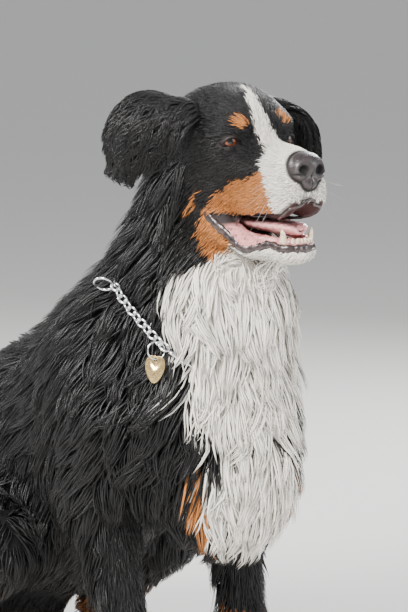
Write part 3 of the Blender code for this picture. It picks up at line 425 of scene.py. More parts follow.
def smooth_join(first, second, width):
    """The smaller of two distances, lowered by a square fillet where they are within width."""
    near = np.maximum(width - np.abs(first - second), 0.0) / width
    return np.minimum(first, second) - near * near * width / 4


def shapes_of(points, forms):
    """Distance and blend width of each form."""
    balls, bones = forms
    found = [(ball_distance(points, *row[:3]), row[3]) for row in balls]
    return found + [(bone_distance(points, *row[:4]), row[4]) for row in bones]


def blended(shapes):
    """All shapes joined, the softest blends first."""
    ranked = sorted(shapes, key=lambda shape: -shape[1])
    total = ranked[0][0]
    for distance, width in ranked[1:]:
        total = smooth_join(total, distance, width)
    return total


HEAD_REACH = 0.3
STEP_SHARE = 0.9  # each round of the slide goes this share of the way
LEAST_SLOPE = 0.25


def flesh(points):
    """Distance to the skin: the body, the skull and the jaw in one blend."""
    total = blended(shapes_of(points, BODY))
    local = to_head(points)
    near = close_to(local, 0.0, HEAD_REACH)
    if near.any():
        inner = points[near]
        shapes = shapes_of(inner, BODY)
        shapes += [(d + HEAD_COAT, w) for d, w in shapes_of(local[near], SKULL)]
        jaw = blended(shapes_of(local[near], JAW)) + HEAD_COAT
        total[near] = smooth_join(blended(shapes), jaw, JAW_BLEND)
    return total


def slope_of(field, points, here, step=2e-4):
    """Gradient of a field by a small step along each axis."""
    shifts = np.eye(3) * step
    return np.stack([(field(points + shift) - here) / step for shift in shifts], axis=1)


def settle(points, field, height=0.0, rounds=5, reach=0.006):
    """Moves points along the field's slope until it reads the wanted height."""
    for _ in range(rounds):
        here = field(points)
        slope = slope_of(field, points, here)
        pull = np.clip(here - height, -reach, reach) / np.maximum((slope**2).sum(axis=1), LEAST_SLOPE)
        points = points - STEP_SHARE * pull[:, None] * slope
    return points


print("depth of flesh over the middle of the ribs", -flesh(np.array([BODY_BALLS[0][0]])).round(3))

# %% [markdown]
# ## Markings
#
# The breed is black with a white blaze and bib, and rust between the two. The borders are drawn
# in the side view as outlines of a few points, roughened by slow waves, so that the skin and
# every tuft can ask the same rule for its colour. Nothing is painted from a picture.

# %% Places of the markings
BLAZE_ALONG = (-0.11, -0.088, -0.058, -0.03, -0.008, 0.01, 0.034, 0.052, 0.073)
BLAZE_MIDDLE = (-0.004, -0.005, -0.009, -0.01, -0.009, -0.003, 0.001, 0, 0)
BLAZE_HALF = (0.001, 0.005, 0.007, 0.0105, 0.0135, 0.0145, 0.02, 0.029, 0.04)
MUZZLE_HEIGHTS = (-0.086, -0.072, -0.059, -0.048, -0.038, -0.03, -0.012, 0.002, 0.01)
MUZZLE_FRONT = (0.071, 0.07, 0.0655, 0.057, 0.0505, 0.043, 0.041, 0.05, 0.2)
BROW_SPOTS = (((0.0055, -0.0395, 0.0265), 0.0098), ((0.0075, 0.032, 0.032), 0.0098))
CHEEK = (
    (0.06, -0.026), (0.0285, -0.0461), (0.0129, -0.0501), (-0.004, -0.0575), (-0.0166, -0.0698),
    (-0.0346, -0.0908), (-0.0495, -0.1191), (-0.0471, -0.1327), (-0.0338, -0.1554),
    (-0.015, -0.159), (-0.01, -0.138), (0.09, -0.11), (0.1, -0.06),
)
CHEEK_STREAK = ((-0.04, -0.06), (-0.052, -0.082), (-0.066, -0.1), (-0.056, -0.1), (-0.045, -0.082))
BIB = (
    (0.674, 0.646), (0.634, 0.628), (0.613, 0.614), (0.594, 0.593), (0.604, 0.566), (0.618, 0.542),
    (0.64, 0.504), (0.64, 0.472), (0.66, 0.425), (0.69, 0.388), (0.668, 0.352), (0.656, 0.3),
    (0.64, 0.205), (0.9, 0.195), (0.9, 0.69), (0.72, 0.69),
)
JAW_WHITE = (
    (-0.016, -0.14), (0.02, -0.132), (0.11, -0.12), (0.11, -0.2), (-0.045, -0.2), (-0.03, -0.16),
)
CHEST_RUST = ((0.66, 0.352), (0.68, 0.35), (0.664, 0.3), (0.65, 0.25), (0.634, 0.252), (0.64, 0.31))
BLAZE_TOP = -0.105  # along the head, where the blaze ends on the skull
BLAZE_FOOT = -0.03  # heights where the blaze and the white of the upper muzzle end
MUZZLE_FOOT = -0.112
CHEEK_SIDE = 0.012  # how far from the middle the rust begins on cheek, jowl and chest
STREAK_SIDE = 0.05
CHEST_SIDE = 0.055
TAIL_WHITE = -0.335  # the tail is white behind this
LOW_WHITE = (  # height of the top, waves, softness, strength, ahead from and to, out from
    (0.085, 1, 2, 1.0, 0.5, 9.0, -1.0),  # forepaw
    (0.06, 1, 2, 1.0, 0.215, 0.45, 0.13),  # hind paw
)
LOW_RUST = (
    (0.125, 2, 4, 1.0, 0.47, 9.0, 0.045),  # foreleg
    (0.095, 2, 4, 1.0, 0.09, 0.46, 0.13),  # hock
    (0.065, 1, 2, 0.8, -0.3, -0.06, -1.0),  # under the tail
)
BORDER = 0.0025
WAVE_WAYS = np.array([
    [0.61, 0.33, 0.72], [-0.45, 0.81, 0.37], [0.2, -0.52, 0.83], [0.77, 0.61, -0.17],
])


def ripple(points, size):
    """Four sine waves of different directions and lengths, from -1 to 1."""
    total = 0.0
    for i, way in enumerate(WAVE_WAYS):
        total = total + np.sin(points @ way * (2 * math.pi * (1 + 0.37 * i) / size) + 1.7 * i)
    return total / len(WAVE_WAYS)


def inside(outline, across, up):
    """Distance inside a closed outline, negative outside: the nearest edge, with even-odd sign."""
    corners = np.array(outline)
    nearest = np.full(len(across), 1.0)
    within = np.zeros(len(across), dtype=bool)
    for (ax, ay), (bx, by) in zip(corners, np.roll(corners, -1, axis=0)):
        dx, dy = bx - ax, by - ay
        share = np.clip(((across - ax) * dx + (up - ay) * dy) / (dx * dx + dy * dy), 0.0, 1.0)
        nearest = np.minimum(nearest, np.hypot(across - ax - share * dx, up - ay - share * dy))
        crosses = (ay > up) != (by > up)
        within ^= crosses & (across < ax + (up - ay) / (dy if dy else 1e-12) * dx)
    return np.where(within, nearest, -nearest)


def soft(distance, width=BORDER):
    """From 0 well outside to 1 well inside a border."""
    return np.clip(0.5 + distance / (2 * width), 0.0, 1.0)


def low_patches(rows, ahead, out, height, rough, width):
    """Patches on the legs and tail, each up to a height in the room that its row gives."""
    return [
        strength * soft(top - height + waves * rough, softness * width)
        * ((ahead > start) & (ahead < end) & (out > apart))
        for top, waves, softness, strength, start, end, apart in rows
    ]


def markings(points, width=BORDER):
    """How white and how rust the coat is at each place; what is neither is black."""
    local = to_head(points)
    x, side, z = local.T
    ahead, out, height = points[:, 0], np.abs(points[:, 1]), points[:, 2]
    rough = 0.0035 * ripple(points, 0.03) + 0.0015 * ripple(points, 0.011)
    along = x - z
    middle = np.interp(along, BLAZE_ALONG, BLAZE_MIDDLE)
    half = np.interp(along, BLAZE_ALONG, BLAZE_HALF)
    is_head = soft(0.22 - lengths_of(local), 0.02)
    blaze = soft(half - np.abs(side - middle) + 0.5 * rough, width)
    blaze = blaze * soft(along - BLAZE_TOP, width) * (z > BLAZE_FOOT)
    muzzle = soft(x - np.interp(z, MUZZLE_HEIGHTS, MUZZLE_FRONT) + rough, width) * (z > MUZZLE_FOOT)
    jaw = soft(inside(JAW_WHITE, x, z) + rough, width)
    bib = soft(inside(BIB, ahead, height) + 2.5 * rough, 2 * width)
    tail_tip = soft(TAIL_WHITE - ahead + rough, 3 * width)
    paws = low_patches(LOW_WHITE, ahead, out, height, rough, width)
    white = np.maximum.reduce([blaze * is_head, muzzle * is_head, jaw * is_head, bib, *paws, tail_tip])
    cheek = soft(inside(CHEEK, x, z) + rough, width) * (np.abs(side) > CHEEK_SIDE) * is_head
    streak = soft(inside(CHEEK_STREAK, x, z) + 0.5 * rough, width) * (np.abs(side) > STREAK_SIDE) * is_head
    spots = [soft(radius - lengths_of(local - centre) + 0.4 * rough, width) for centre, radius in BROW_SPOTS]
    chest = soft(inside(CHEST_RUST, ahead, height) + 2 * rough, 2 * width) * (out > CHEST_SIDE)
    legs = low_patches(LOW_RUST, ahead, out, height, rough, width)
    rust = np.maximum.reduce([cheek, streak, *spots, chest, *legs])
    return white, rust * (1.0 - white)


BLACK = np.array([0.008, 0.0076, 0.008])
WHITE = np.array([0.86, 0.82, 0.75])
RUST = np.array([0.46, 0.165, 0.036])
FRECKLES = np.array([0.098, 0.0, -0.066])
FRECKLE_REACH = 0.03


def coat_colour(points, white, rust):
    """The three colours mixed, with grey freckles on the white beside and below the nose."""
    local = to_head(points)
    shade = WHITE * (1.0 + 0.06 * ripple(points, 0.05))[:, None]
    from_freckles = lengths_of((local - FRECKLES) / [1, 1.5, 1])
    freckled = soft(FRECKLE_REACH - from_freckles, 0.012)
    speckle = np.clip(ripple(points, 0.0032) * 1.4 + 0.25, 0.0, 1.0) * freckled
    shade = shade * (1.0 - 0.62 * speckle)[:, None]
    black = (1.0 - white - rust)[:, None]
    return black * BLACK + white[:, None] * shade + rust[:, None] * RUST


print("white and rust on the bridge of the nose", markings(from_head([[0.04, 0.0, -0.015]])))

# %% [markdown]
# ## The skin
#
# A real coat grows from one unbroken hide, so the skin is one surface too. The forms are first
# blocked out as overlapping balls, which a voxel remesh fuses. The face is divided finer, and
# then every point slides onto the field, which also cuts the two openings for the eyes.

# %% Eye frames and openings
EYE_RADIUS = 0.013
EYE_OUTWARD = math.radians(21)
EYE_RISE = 0.03
LID_LENGTH = 0.029
LID_HEIGHT = 0.0138
LID_DROOP = 0.0012
LID_BOW = 0.0028
LID_SLANT = 0.16
LID_POWER = 0.675
SOCKET_FLOOR = 0.0022
EYE_ROOM = 0.09  # the openings are cut only this near the middle of the eyes


def eye_frame(side):
    """Centre of an eye and the directions ahead, across and up of the opening, in head places."""
    centre = EYE_CENTRE * [1, side, 1]
    look = unit(np.array([math.cos(EYE_OUTWARD), side * math.sin(EYE_OUTWARD), EYE_RISE]))
    across = unit(np.cross(look, [0.0, 0.0, 1.0]))
    rise = unit(np.cross(across, look))
    across = unit(across + rise * LID_SLANT * side)
    return centre, look, across, rise


def lid_outline(u):
    """Half the opening's height at a place along it: a power of the ellipse's."""
    return LID_HEIGHT / 2 * np.clip(1.0 - (2 * u / LID_LENGTH) ** 2, 0.0, 1.0) ** LID_POWER


def lid_middle(u):
    """Height of the opening's middle line: below the gaze, and lower towards both corners."""
    return -LID_DROOP - LID_BOW * (2 * u / LID_LENGTH) ** 2


def eye_opening(local, side):
    """Distance to the room in front of an eye that the lids leave open."""
    centre, look, across, rise = eye_frame(side)
    away = local - centre
    u = away @ across
    v = away @ rise - lid_middle(u)
    outline = np.maximum(np.abs(v) - lid_outline(u), np.abs(u) - LID_LENGTH / 2)
    floor = EYE_RADIUS - SOCKET_FLOOR - lengths_of(away)
    return np.maximum.reduce([outline * 0.8, floor, -(away @ look)])


FLOOR_GAP = 0.0012
print("each eye opens", 1000 * LID_LENGTH, "by", 1000 * LID_HEIGHT, "mm")


def skin_field(points):
    """The flesh less the two eye openings and what is under the floor."""
    total = flesh(points)
    local = to_head(points)
    near = close_to(local, 0.0, EYE_ROOM)
    if near.any():
        for side in (1, -1):
            total[near] = np.maximum(total[near], -eye_opening(local[near], side))
    return np.maximum(total, FLOOR_GAP - points[:, 2])


# %% Skin
BALL_COLUMNS = 24
BALL_ROWS = 14
SKIN_VOXEL = 0.0068
BONE_STEPS = 8


def ball_grid(columns, rows):
    """A unit ball: longitude by latitude, closed by a fan at each pole."""
    a = full_turn(columns)
    b = np.linspace(-math.pi / 2, math.pi / 2, rows + 1)[1:-1, None]
    ring = np.stack(np.broadcast_arrays(np.cos(b) * np.cos(a), np.cos(b) * np.sin(a), np.sin(b)), -1)
    points = np.vstack([ring.reshape(-1, 3), [[0, 0, -1], [0, 0, 1]]])
    return points, tube_faces(rows - 1, columns)


def blocked_out(name, groups, voxel):
    """Balls along every form of each group, fused by a voxel remesh."""
    unit_ball, faces = ball_grid(BALL_COLUMNS, BALL_ROWS)
    places = []
    for (balls, bones), carry in groups:
        for centre, radii, tilt, _ in balls:
            turn = math.radians(tilt)
            tilted = np.array([
                [math.cos(turn), 0, -math.sin(turn)], [0, 1, 0], [math.sin(turn), 0, math.cos(turn)],
            ])
            places.append(carry((unit_ball * radii) @ tilted.T + centre))
        for start, end, first, last, _ in bones:
            for share in np.linspace(0.0, 1.0, BONE_STEPS + 1):
                centre = np.array(start) * (1 - share) + np.array(end) * share
                places.append(carry(unit_ball * (first + (last - first) * share) + centre))
    obj = put_mesh(name, np.vstack(places), repeated(faces, len(places), len(unit_ball)))
    remesh = obj.modifiers.new("fuse", "REMESH")
    remesh.mode = "VOXEL"
    remesh.voxel_size = voxel
    return apply_modifiers(obj)


def divide_near(obj, inner):
    """Halves the edges of the faces whose corners all lie where inner says."""
    made = bmesh.new()
    made.from_mesh(obj.data)
    marked = inner(read_points(obj))
    made.verts.ensure_lookup_table()
    faces = [face for face in made.faces if all(marked[v.index] for v in face.verts)]
    edges = list({edge for face in faces for edge in face.edges})
    bmesh.ops.subdivide_edges(made, edges=edges, cuts=1, use_grid_fill=True)
    made.to_mesh(obj.data)
    made.free()


def stay(points):
    """Body forms are already in body places."""
    return points


def all_of_head(points):
    """The whole head, back to the ears."""
    local = to_head(points)
    return close_to(local, [-0.01, 0.0, -0.055], 0.15)


def face_only(points):
    """Muzzle, lips and the skin round the eyes."""
    local = to_head(points)
    return (local[:, 0] > -0.035) & (local[:, 2] < 0.03) & (local[:, 2] > -0.16)


skin = blocked_out("skin", ((BODY, stay), (SKULL, from_head), (JAW, from_head)), SKIN_VOXEL)
divide_near(skin, all_of_head)
divide_near(skin, face_only)
skin_points = settle(read_points(skin), skin_field)
move_points(skin, skin_points)
print("skin", len(skin_points), "points,", len(skin.data.polygons), "faces")

# %% [markdown]
# ## Finishes that several materials share
#
# Hair is streaky: each tuft stands for many hairs of slightly different tone, and light breaks
# along them. One node group makes those streaks from a tuft's own coordinates, across and
# along it, and darkens each tuft towards its root as painted shade. A second group gives bare
# skin its pebbles and creases; its crease noise also picks the skin's tone, darker where the
# creases sink, which is painted shade over a tone that varies.

# %% Node helpers


def new_group(name, inputs, outputs):
    """A shader node group, the sockets that bring its inputs, and the node that takes its outputs."""
    group = bpy.data.node_groups.new(name, "ShaderNodeTree")
    for label, kind, value in inputs:
        socket = group.interface.new_socket(label, in_out="INPUT", socket_type=kind)
        if value is not None:
            socket.default_value = value
    for label, kind in outputs:
        group.interface.new_socket(label, in_out="OUTPUT", socket_type=kind)
    return group, group.nodes.new("NodeGroupInput").outputs, group.nodes.new("NodeGroupOutput")


def feed(tree, node, inputs):
    """Each input named gets its value, or a link from the socket given for it."""
    for key, value in inputs.items():
        if isinstance(value, bpy.types.NodeSocket):
            tree.links.new(value, node.inputs[key])
        else:
            node.inputs[key].default_value = value


def add_node(tree, kind, inputs=None, **settings):
    """A node with its settings, and then its inputs."""
    node = tree.nodes.new("ShaderNode" + kind)
    for key, value in settings.items():
        setattr(node, key, value)
    feed(tree, node, inputs or {})
    return node


def calculate(tree, operation, *values):
    """What a Math node makes of numbers or sockets."""
    return add_node(tree, "Math", dict(enumerate(values)), operation=operation).outputs[0]


def ranged(tree, value, low, high, first, last):
    """A value spread from low..high onto first..last."""
    inputs = {"Value": value, "From Min": low, "From Max": high, "To Min": first, "To Max": last}
    return add_node(tree, "MapRange", inputs).outputs[0]


def two_tones(tree, value, low, high, dark, bright):
    """A colour between dark and bright, for a value from low to high."""
    spread = {"From Min": (low,) * 3, "From Max": (high,) * 3, "To Min": dark, "To Max": bright}
    return add_node(tree, "MapRange", {"Vector": value, **spread}, data_type="FLOAT_VECTOR").outputs["Vector"]


def scaled(tree, color, factor):
    """A colour times a value."""
    return add_node(tree, "VectorMath", {0: color, "Scale": factor}, operation="SCALE").outputs[0]


def attribute_of(tree, name):
    """The node that reads one of the piece's own attributes."""
    return add_node(tree, "Attribute", attribute_name=name)


def object_place(tree):
    """The place on the piece, in metres."""
    return add_node(tree, "TexCoord").outputs["Object"]


def noise(tree, where, scale, detail, roughness=0.5):
    """Cloudy noise at a place."""
    inputs = {"Vector": where, "Scale": scale, "Detail": detail, "Roughness": roughness}
    return add_node(tree, "TexNoise", inputs).outputs[0]


def relief(tree, height, strength, distance):
    """Normals that follow a height."""
    return add_node(tree, "Bump", {"Strength": strength, "Distance": distance, "Height": height}).outputs[0]


def new_material(name, roughness, color=(0.5, 0.5, 0.5, 1.0), **sockets):
    """A material with a Principled shader, and its constants set on the shader itself."""
    material = bpy.data.materials.new(name)
    material.use_nodes = True
    shader = material.node_tree.nodes["Principled BSDF"]
    constants = {key.replace("_", " "): value for key, value in sockets.items()}
    feed(material.node_tree, shader, {"Base Color": color, "Roughness": roughness, **constants})
    return material, material.node_tree, shader


# %% Hair streaks and pebbled skin
FLOAT = "NodeSocketFloat"
VECTOR = "NodeSocketVector"
COLOR = "NodeSocketColor"

hair_streaks, streak_in, streak_out = new_group(
    "hair_streaks",
    [("Color", COLOR, (0.5, 0.5, 0.5, 1.0)), ("Strand", VECTOR, None), ("Contrast", FLOAT, 0.5),
     ("Root Shade", FLOAT, 0.3), ("Fineness", FLOAT, 7.0)],
    [("Color", COLOR), ("Height", FLOAT), ("Gloss", FLOAT)],
)
strand_parts = add_node(hair_streaks, "SeparateXYZ", {0: streak_in["Strand"]}).outputs
grain_place = add_node(hair_streaks, "CombineXYZ", {
    "X": calculate(hair_streaks, "MULTIPLY", strand_parts["X"], streak_in["Fineness"]),
    "Y": calculate(hair_streaks, "MULTIPLY", strand_parts["Y"], 1.3),
    "Z": calculate(hair_streaks, "MULTIPLY", strand_parts["Z"], 90.0),
}).outputs[0]
grain = noise(hair_streaks, grain_place, 1.0, 2.0, 0.6)
tone = ranged(hair_streaks, grain, 0.3, 0.7, -1.0, 1.0)
per_tuft = calculate(hair_streaks, "SUBTRACT", strand_parts["Z"], 0.5)
both_tones = calculate(hair_streaks, "ADD", tone, per_tuft)
streaked = calculate(hair_streaks, "MULTIPLY_ADD", both_tones, streak_in["Contrast"], 1.0)
# Painted shade: each tuft's colour darkens towards its root, where the coat shades itself.
at_root = ranged(hair_streaks, strand_parts["Y"], 0.0, 0.45, 1.0, 0.0)
painted_root_shade = calculate(hair_streaks, "MULTIPLY", at_root, streak_in["Root Shade"])
after_root_shade = calculate(hair_streaks, "SUBTRACT", 1.0, painted_root_shade)
brightness = calculate(hair_streaks, "MULTIPLY", streaked, after_root_shade)
feed(hair_streaks, streak_out, {
    "Color": scaled(hair_streaks, streak_in["Color"], brightness), "Height": grain, "Gloss": tone,
})

pebbles, pebble_in, pebble_out = new_group(
    "pebbles",
    [("Scale", FLOAT, 900.0), ("Crease Scale", FLOAT, 160.0)],
    [("Height", FLOAT), ("Mask", FLOAT)],
)
pebble_place = object_place(pebbles)
cells = add_node(pebbles, "TexVoronoi", {
    "Vector": pebble_place, "Scale": pebble_in["Scale"],
}, feature="F1")
creases = noise(pebbles, pebble_place, pebble_in["Crease Scale"], 4.0)
# The crease noise is both the relief and the mask of two tones, so the sunk creases come out darker: painted
# shade.
feed(pebbles, pebble_out, {
    "Height": calculate(pebbles, "MULTIPLY_ADD", cells.outputs["Distance"], -0.6, creases), "Mask": creases,
})
print("node groups", [group.name for group in bpy.data.node_groups])

# %% [markdown]
# ## Materials of coat and skin
#
# The hide reads its colour from an attribute that the markings fill. The coat has three
# materials, black, white and rust, because black hair is much glossier than white, but all
# three use the same streaks on the colour that each tuft carries.

# %% Coat and skin materials


def coat_material(name, roughness, gloss, contrast, root_shade, bump, sheen):
    """Hair: the tuft's own colour with streaks, and a roughness that varies along them."""
    material, tree, shader = new_material(name, roughness, Sheen_Weight=sheen, Specular_IOR_Level=gloss)
    streaks = add_node(tree, "Group", {
        "Contrast": contrast, "Root Shade": root_shade, "Color": attribute_of(tree, "coat").outputs["Color"],
        "Strand": attribute_of(tree, "strand").outputs["Vector"],
    }, node_tree=hair_streaks).outputs
    feed(tree, shader, {
        "Base Color": streaks["Color"],
        "Roughness": ranged(tree, streaks["Gloss"], -1.0, 1.0, roughness - 0.1, roughness + 0.1),
        "Normal": relief(tree, streaks["Height"], bump, 0.0008),
    })
    return material


COATS = {
    "black": coat_material("black_hair", 0.36, 0.36, 0.55, 0.4, 0.6, 0.0),
    "white": coat_material("white_hair", 0.66, 0.3, 0.12, 0.1, 0.4, 0.2),
    "rust": coat_material("rust_hair", 0.55, 0.35, 0.28, 0.25, 0.5, 0.05),
}

hide, hide_tree, hide_shader = new_material("hide_with_short_hair", 0.62, Specular_IOR_Level=0.25)
hide_noise = noise(hide_tree, object_place(hide_tree), 420.0, 5.0, 0.7)
hide_tone = ranged(hide_tree, hide_noise, 0.3, 0.7, 0.7, 1.15)
feed(hide_tree, hide_shader, {
    "Base Color": scaled(hide_tree, attribute_of(hide_tree, "coat").outputs["Color"], hide_tone),
    "Normal": relief(hide_tree, hide_noise, 0.6, 0.0006),
})


def pebbled_material(name, roughness, scales, low, high, dark, bright, bump, bump_depth, **sockets):
    """Bare skin: the crease noise mixes two tones, the darker one where the creases sink, which is painted
    shade over a varying tone; pebbles and creases are its relief.
    """
    material, tree, shader = new_material(name, roughness, **sockets)
    sizes = {"Scale": scales[0], "Crease Scale": scales[1]}
    pebbled = add_node(tree, "Group", sizes, node_tree=pebbles).outputs
    # Painted shade: the dark tone lies where the creases sink.
    tint = two_tones(tree, pebbled["Mask"], low, high, dark, bright)
    feed(tree, shader, {"Base Color": tint, "Normal": relief(tree, pebbled["Height"], bump, bump_depth)})
    return material, tree, shader, tint


print("materials", [material.name for material in bpy.data.materials])

# %% [markdown]
# ## The mouth
#
# The mouth hangs open. Its line runs from the corner below the eye, along the edge of the upper
# lip to the nose, and back along the lower lip. The same two lines colour the skin, keep hair
# out of the mouth, and carry the lips.

# %% Lines of the lips, from the middle of the eyes
UPPER_LIP = np.array([
    (-0.034, 0.049, -0.086), (-0.02, 0.046, -0.091), (0, 0.0425, -0.095), (0.022, 0.041, -0.0965),
    (0.045, 0.041, -0.0975), (0.062, 0.039, -0.0965), (0.08, 0.032, -0.09), (0.093, 0.02, -0.08),
    (0.099, 0.009, -0.073), (0.101, 0, -0.07),
])
LOWER_LIP = np.array([
    (-0.034, 0.049, -0.088), (-0.026, 0.05, -0.098), (-0.012, 0.05, -0.111), (0.003, 0.049, -0.124),
    (0.02, 0.046, -0.135), (0.038, 0.0415, -0.1355), (0.057, 0.034, -0.13), (0.075, 0.024, -0.134),
    (0.0865, 0.012, -0.134), (0.091, 0, -0.1335),
])
PALATE_HEIGHT = -0.0745
MUZZLE_END = 0.099


def curve_through(points, count):
    """A cubic through the points, whose slope at each is half the step between its neighbours."""
    points = np.asarray(points, dtype=float)
    padded = np.vstack([2 * points[0] - points[1], points, 2 * points[-1] - points[-2]])
    where = np.linspace(0.0, len(points) - 1 - 1e-9, count)
    i = where.astype(int)
    t = (where - i)[:, None]
    a, b, c, d = (padded[i + k] for k in range(4))
    return 0.5 * (2 * b + (c - a) * t + (2 * a - 5 * b + 4 * c - d) * t**2 + (3 * b - a - 3 * c + d) * t**3)


def mouth_room(local):
    """Distance inside the room between the lips, from the heights of the two lines."""
    x, side, z = local.T
    top = np.interp(x, UPPER_LIP[:, 0], UPPER_LIP[:, 2])
    bottom = np.interp(x, LOWER_LIP[:, 0], LOWER_LIP[:, 2])
    wide = np.interp(x, UPPER_LIP[:, 0], UPPER_LIP[:, 1])
    middle = soft(wide - 0.005 - np.abs(side), 0.003)
    ceiling = top + 0.004 + (np.maximum(top, PALATE_HEIGHT) - top) * middle
    room = np.minimum(ceiling - z, z - bottom + 0.002)
    return np.minimum(room, np.minimum(x + 0.038, MUZZLE_END - x))


def mixed(first, second, share):
    """From the first to the second, by a share for each point."""
    share = share[:, None]
    return first * (1 - share) + second * share


# Painted shade: the roof and middle of the mouth are a dark red lining painted near black, as the shade
# inside the mouth.
MOUTH_LINING_IN_SHADE = np.array([0.04, 0.012, 0.012])
INNER_LIP = np.array([0.66, 0.28, 0.27])
LIP_DARK = np.array([0.02, 0.014, 0.014])
BARE_RIM = np.array([0.011, 0.008, 0.008])


def skin_colour(points):
    """The markings, with dark rims at the eyes and nose, and in the mouth a dark red lining painted near
    black as its shade, pink low down.
    """
    local = to_head(points)
    white, rust = markings(points)
    color = coat_colour(points, white, rust)
    # Painted shade in the mouth: near black in the middle, the flews' own dark skin at the sides.
    lining_and_painted_shade = mixed(LIP_DARK, MOUTH_LINING_IN_SHADE, soft(0.03 - np.abs(local[:, 1]), 0.006))
    low = soft(-0.106 - local[:, 2] + 0.05 * (local[:, 0] - 0.02), 0.003)
    low = low * soft(local[:, 0] + 0.006, 0.006)
    low = low * (1 - 0.8 * np.clip(ripple(points, 0.009) * 1.6 - 0.2, 0.0, 1.0))
    color = mixed(color, mixed(lining_and_painted_shade, INNER_LIP, low), soft(mouth_room(local), 0.003))
    for side in (1, -1):
        rim = soft(0.0024 - eye_opening(local, side), 0.0016)
        color = mixed(color, BARE_RIM, rim * close_to(local, EYE_CENTRE * [1, side, 1], 0.024))
    return mixed(color, BARE_RIM, soft(0.004 - blended(shapes_of(local, NOSE)), 0.002))


ATTRIBUTE_KINDS = {1: ("FLOAT", "value"), 3: ("FLOAT_VECTOR", "vector"), 4: ("FLOAT_COLOR", "color")}


def add_attribute(obj, name, values):
    """One, three or four numbers for each vertex, which materials can read as an attribute."""
    rows = np.ascontiguousarray(values, dtype=np.float32).reshape(len(obj.data.vertices), -1)
    kind, key = ATTRIBUTE_KINDS[rows.shape[1]]
    obj.data.attributes.new(name, kind, "POINT").data.foreach_set(key, rows.ravel())


def with_alpha(colors):
    """Colours with a fourth channel of one."""
    return np.hstack([colors, np.ones((len(colors), 1))])


add_attribute(skin, "coat", with_alpha(skin_colour(skin_points)))
FLESH_NODES = ["head", "neck", "chest", "hindquarters", "tail"]
for limb in ("thigh", "hind_paw", "foreleg", "forepaw"):
    FLESH_NODES += [limb + "_left", limb + "_right"]
dress(skin, hide, "black_coat", *FLESH_NODES)
print("skin replaces", len(FLESH_NODES), "nodes")

# %% [markdown]
# ## The lie of the coat
#
# Hair grows away from the nose, over the skull, and down the neck, sides and legs. A groomer's
# comb strokes describe that: each stroke has a start, an end and the length of the hair there.
# Anywhere else the nearby strokes are averaged, by the inverse fourth power of their distance.

# %% Comb strokes: start, end, hair length
COMB = (
    ((0.53, 0, 0.8), (0.43, 0, 0.64), 0.075),  # nape
    ((0.4, 0, 0.61), (0.2, 0, 0.485), 0.062),  # back
    ((0.2, 0, 0.485), (0.02, 0, 0.33), 0.066),  # loin
    ((0, 0, 0.3), (-0.08, 0, 0.1), 0.078),  # rump
    ((0.72, 0, 0.65), (0.685, 0, 0.53), 0.08),  # throat
    ((0.65, 0, 0.605), (0.715, 0, 0.52), 0.085),  # top of the forechest
    ((0.64, 0.065, 0.6), (0.69, 0.085, 0.51), 0.082),  # beside it
    ((0.68, 0, 0.51), (0.64, 0, 0.33), 0.092),  # chest
    ((0.54, 0, 0.28), (0.28, 0, 0.12), 0.065),  # belly
    ((0.61, 0.085, 0.77), (0.585, 0.11, 0.64), 0.055),  # ruff behind the cheek
    ((0.56, 0.06, 0.83), (0.5, 0.09, 0.69), 0.06),  # back of the head
    ((0.765, 0, 0.795), (0.71, 0, 0.8), 0.0075),  # bridge of the nose
    ((0.71, 0, 0.8), (0.68, 0, 0.85), 0.01),  # stop
    ((0.68, 0, 0.86), (0.59, 0, 0.88), 0.016),  # forehead
    ((0.69, 0.04, 0.83), (0.63, 0.062, 0.85), 0.013),  # brow
    ((0.76, 0.04, 0.755), (0.7, 0.05, 0.745), 0.0085),  # muzzle side
    ((0.765, 0.03, 0.725), (0.71, 0.045, 0.715), 0.008),  # lip
    ((0.7, 0.05, 0.76), (0.64, 0.075, 0.73), 0.013),  # cheek
    ((0.65, 0.06, 0.79), (0.6, 0.078, 0.78), 0.014),  # temple
    ((0.68, 0.048, 0.72), (0.64, 0.072, 0.68), 0.014),  # corner of the mouth
    ((0.65, 0.07, 0.7), (0.625, 0.085, 0.66), 0.026),  # jowl
    ((0.76, 0.018, 0.655), (0.7, 0.03, 0.645), 0.013),  # jaw
    ((0.53, 0.11, 0.67), (0.45, 0.13, 0.54), 0.075),  # side of the neck
    ((0.61, 0.1, 0.62), (0.6, 0.115, 0.53), 0.072),  # front of the neck
    ((0.47, 0.14, 0.52), (0.42, 0.155, 0.36), 0.066),  # shoulder
    ((0.54, 0.14, 0.43), (0.46, 0.155, 0.31), 0.062),  # upper arm
    ((0.62, 0.08, 0.51), (0.59, 0.11, 0.36), 0.082),  # side of the chest
    ((0.36, 0.145, 0.47), (0.22, 0.155, 0.31), 0.066),  # ribs
    ((0.22, 0.13, 0.36), (0.16, 0.18, 0.22), 0.066),  # flank
    ((0.27, 0.2, 0.29), (0.08, 0.2, 0.13), 0.06),  # thigh
    ((0.03, 0.15, 0.29), (-0.06, 0.14, 0.08), 0.085),  # back of the thigh
    ((0.34, 0.19, 0.25), (0.27, 0.215, 0.11), 0.04),  # knee
    ((0.23, 0.2, 0.12), (0.1, 0.205, 0.05), 0.034),  # hock
    ((0.55, 0.105, 0.3), (0.575, 0.105, 0.08), 0.02),  # front of the foreleg
    ((0.44, 0.115, 0.34), (0.49, 0.105, 0.11), 0.058),  # back of the foreleg
    ((0.59, 0.105, 0.05), (0.63, 0.105, 0.02), 0.011),  # forepaw
    ((0.24, 0.192, 0.05), (0.34, 0.192, 0.02), 0.011),  # hind paw
    ((-0.06, 0, 0.1), (-0.16, -0.01, 0.06), 0.095),  # tail root
    ((-0.16, -0.01, 0.06), (-0.28, -0.07, 0.05), 0.105),  # tail
    ((-0.28, -0.07, 0.05), (-0.38, -0.15, 0.04), 0.1),  # tail end
)
COMB_FALLOFF = 2.0  # power of the squared distance
SAG = 0.15
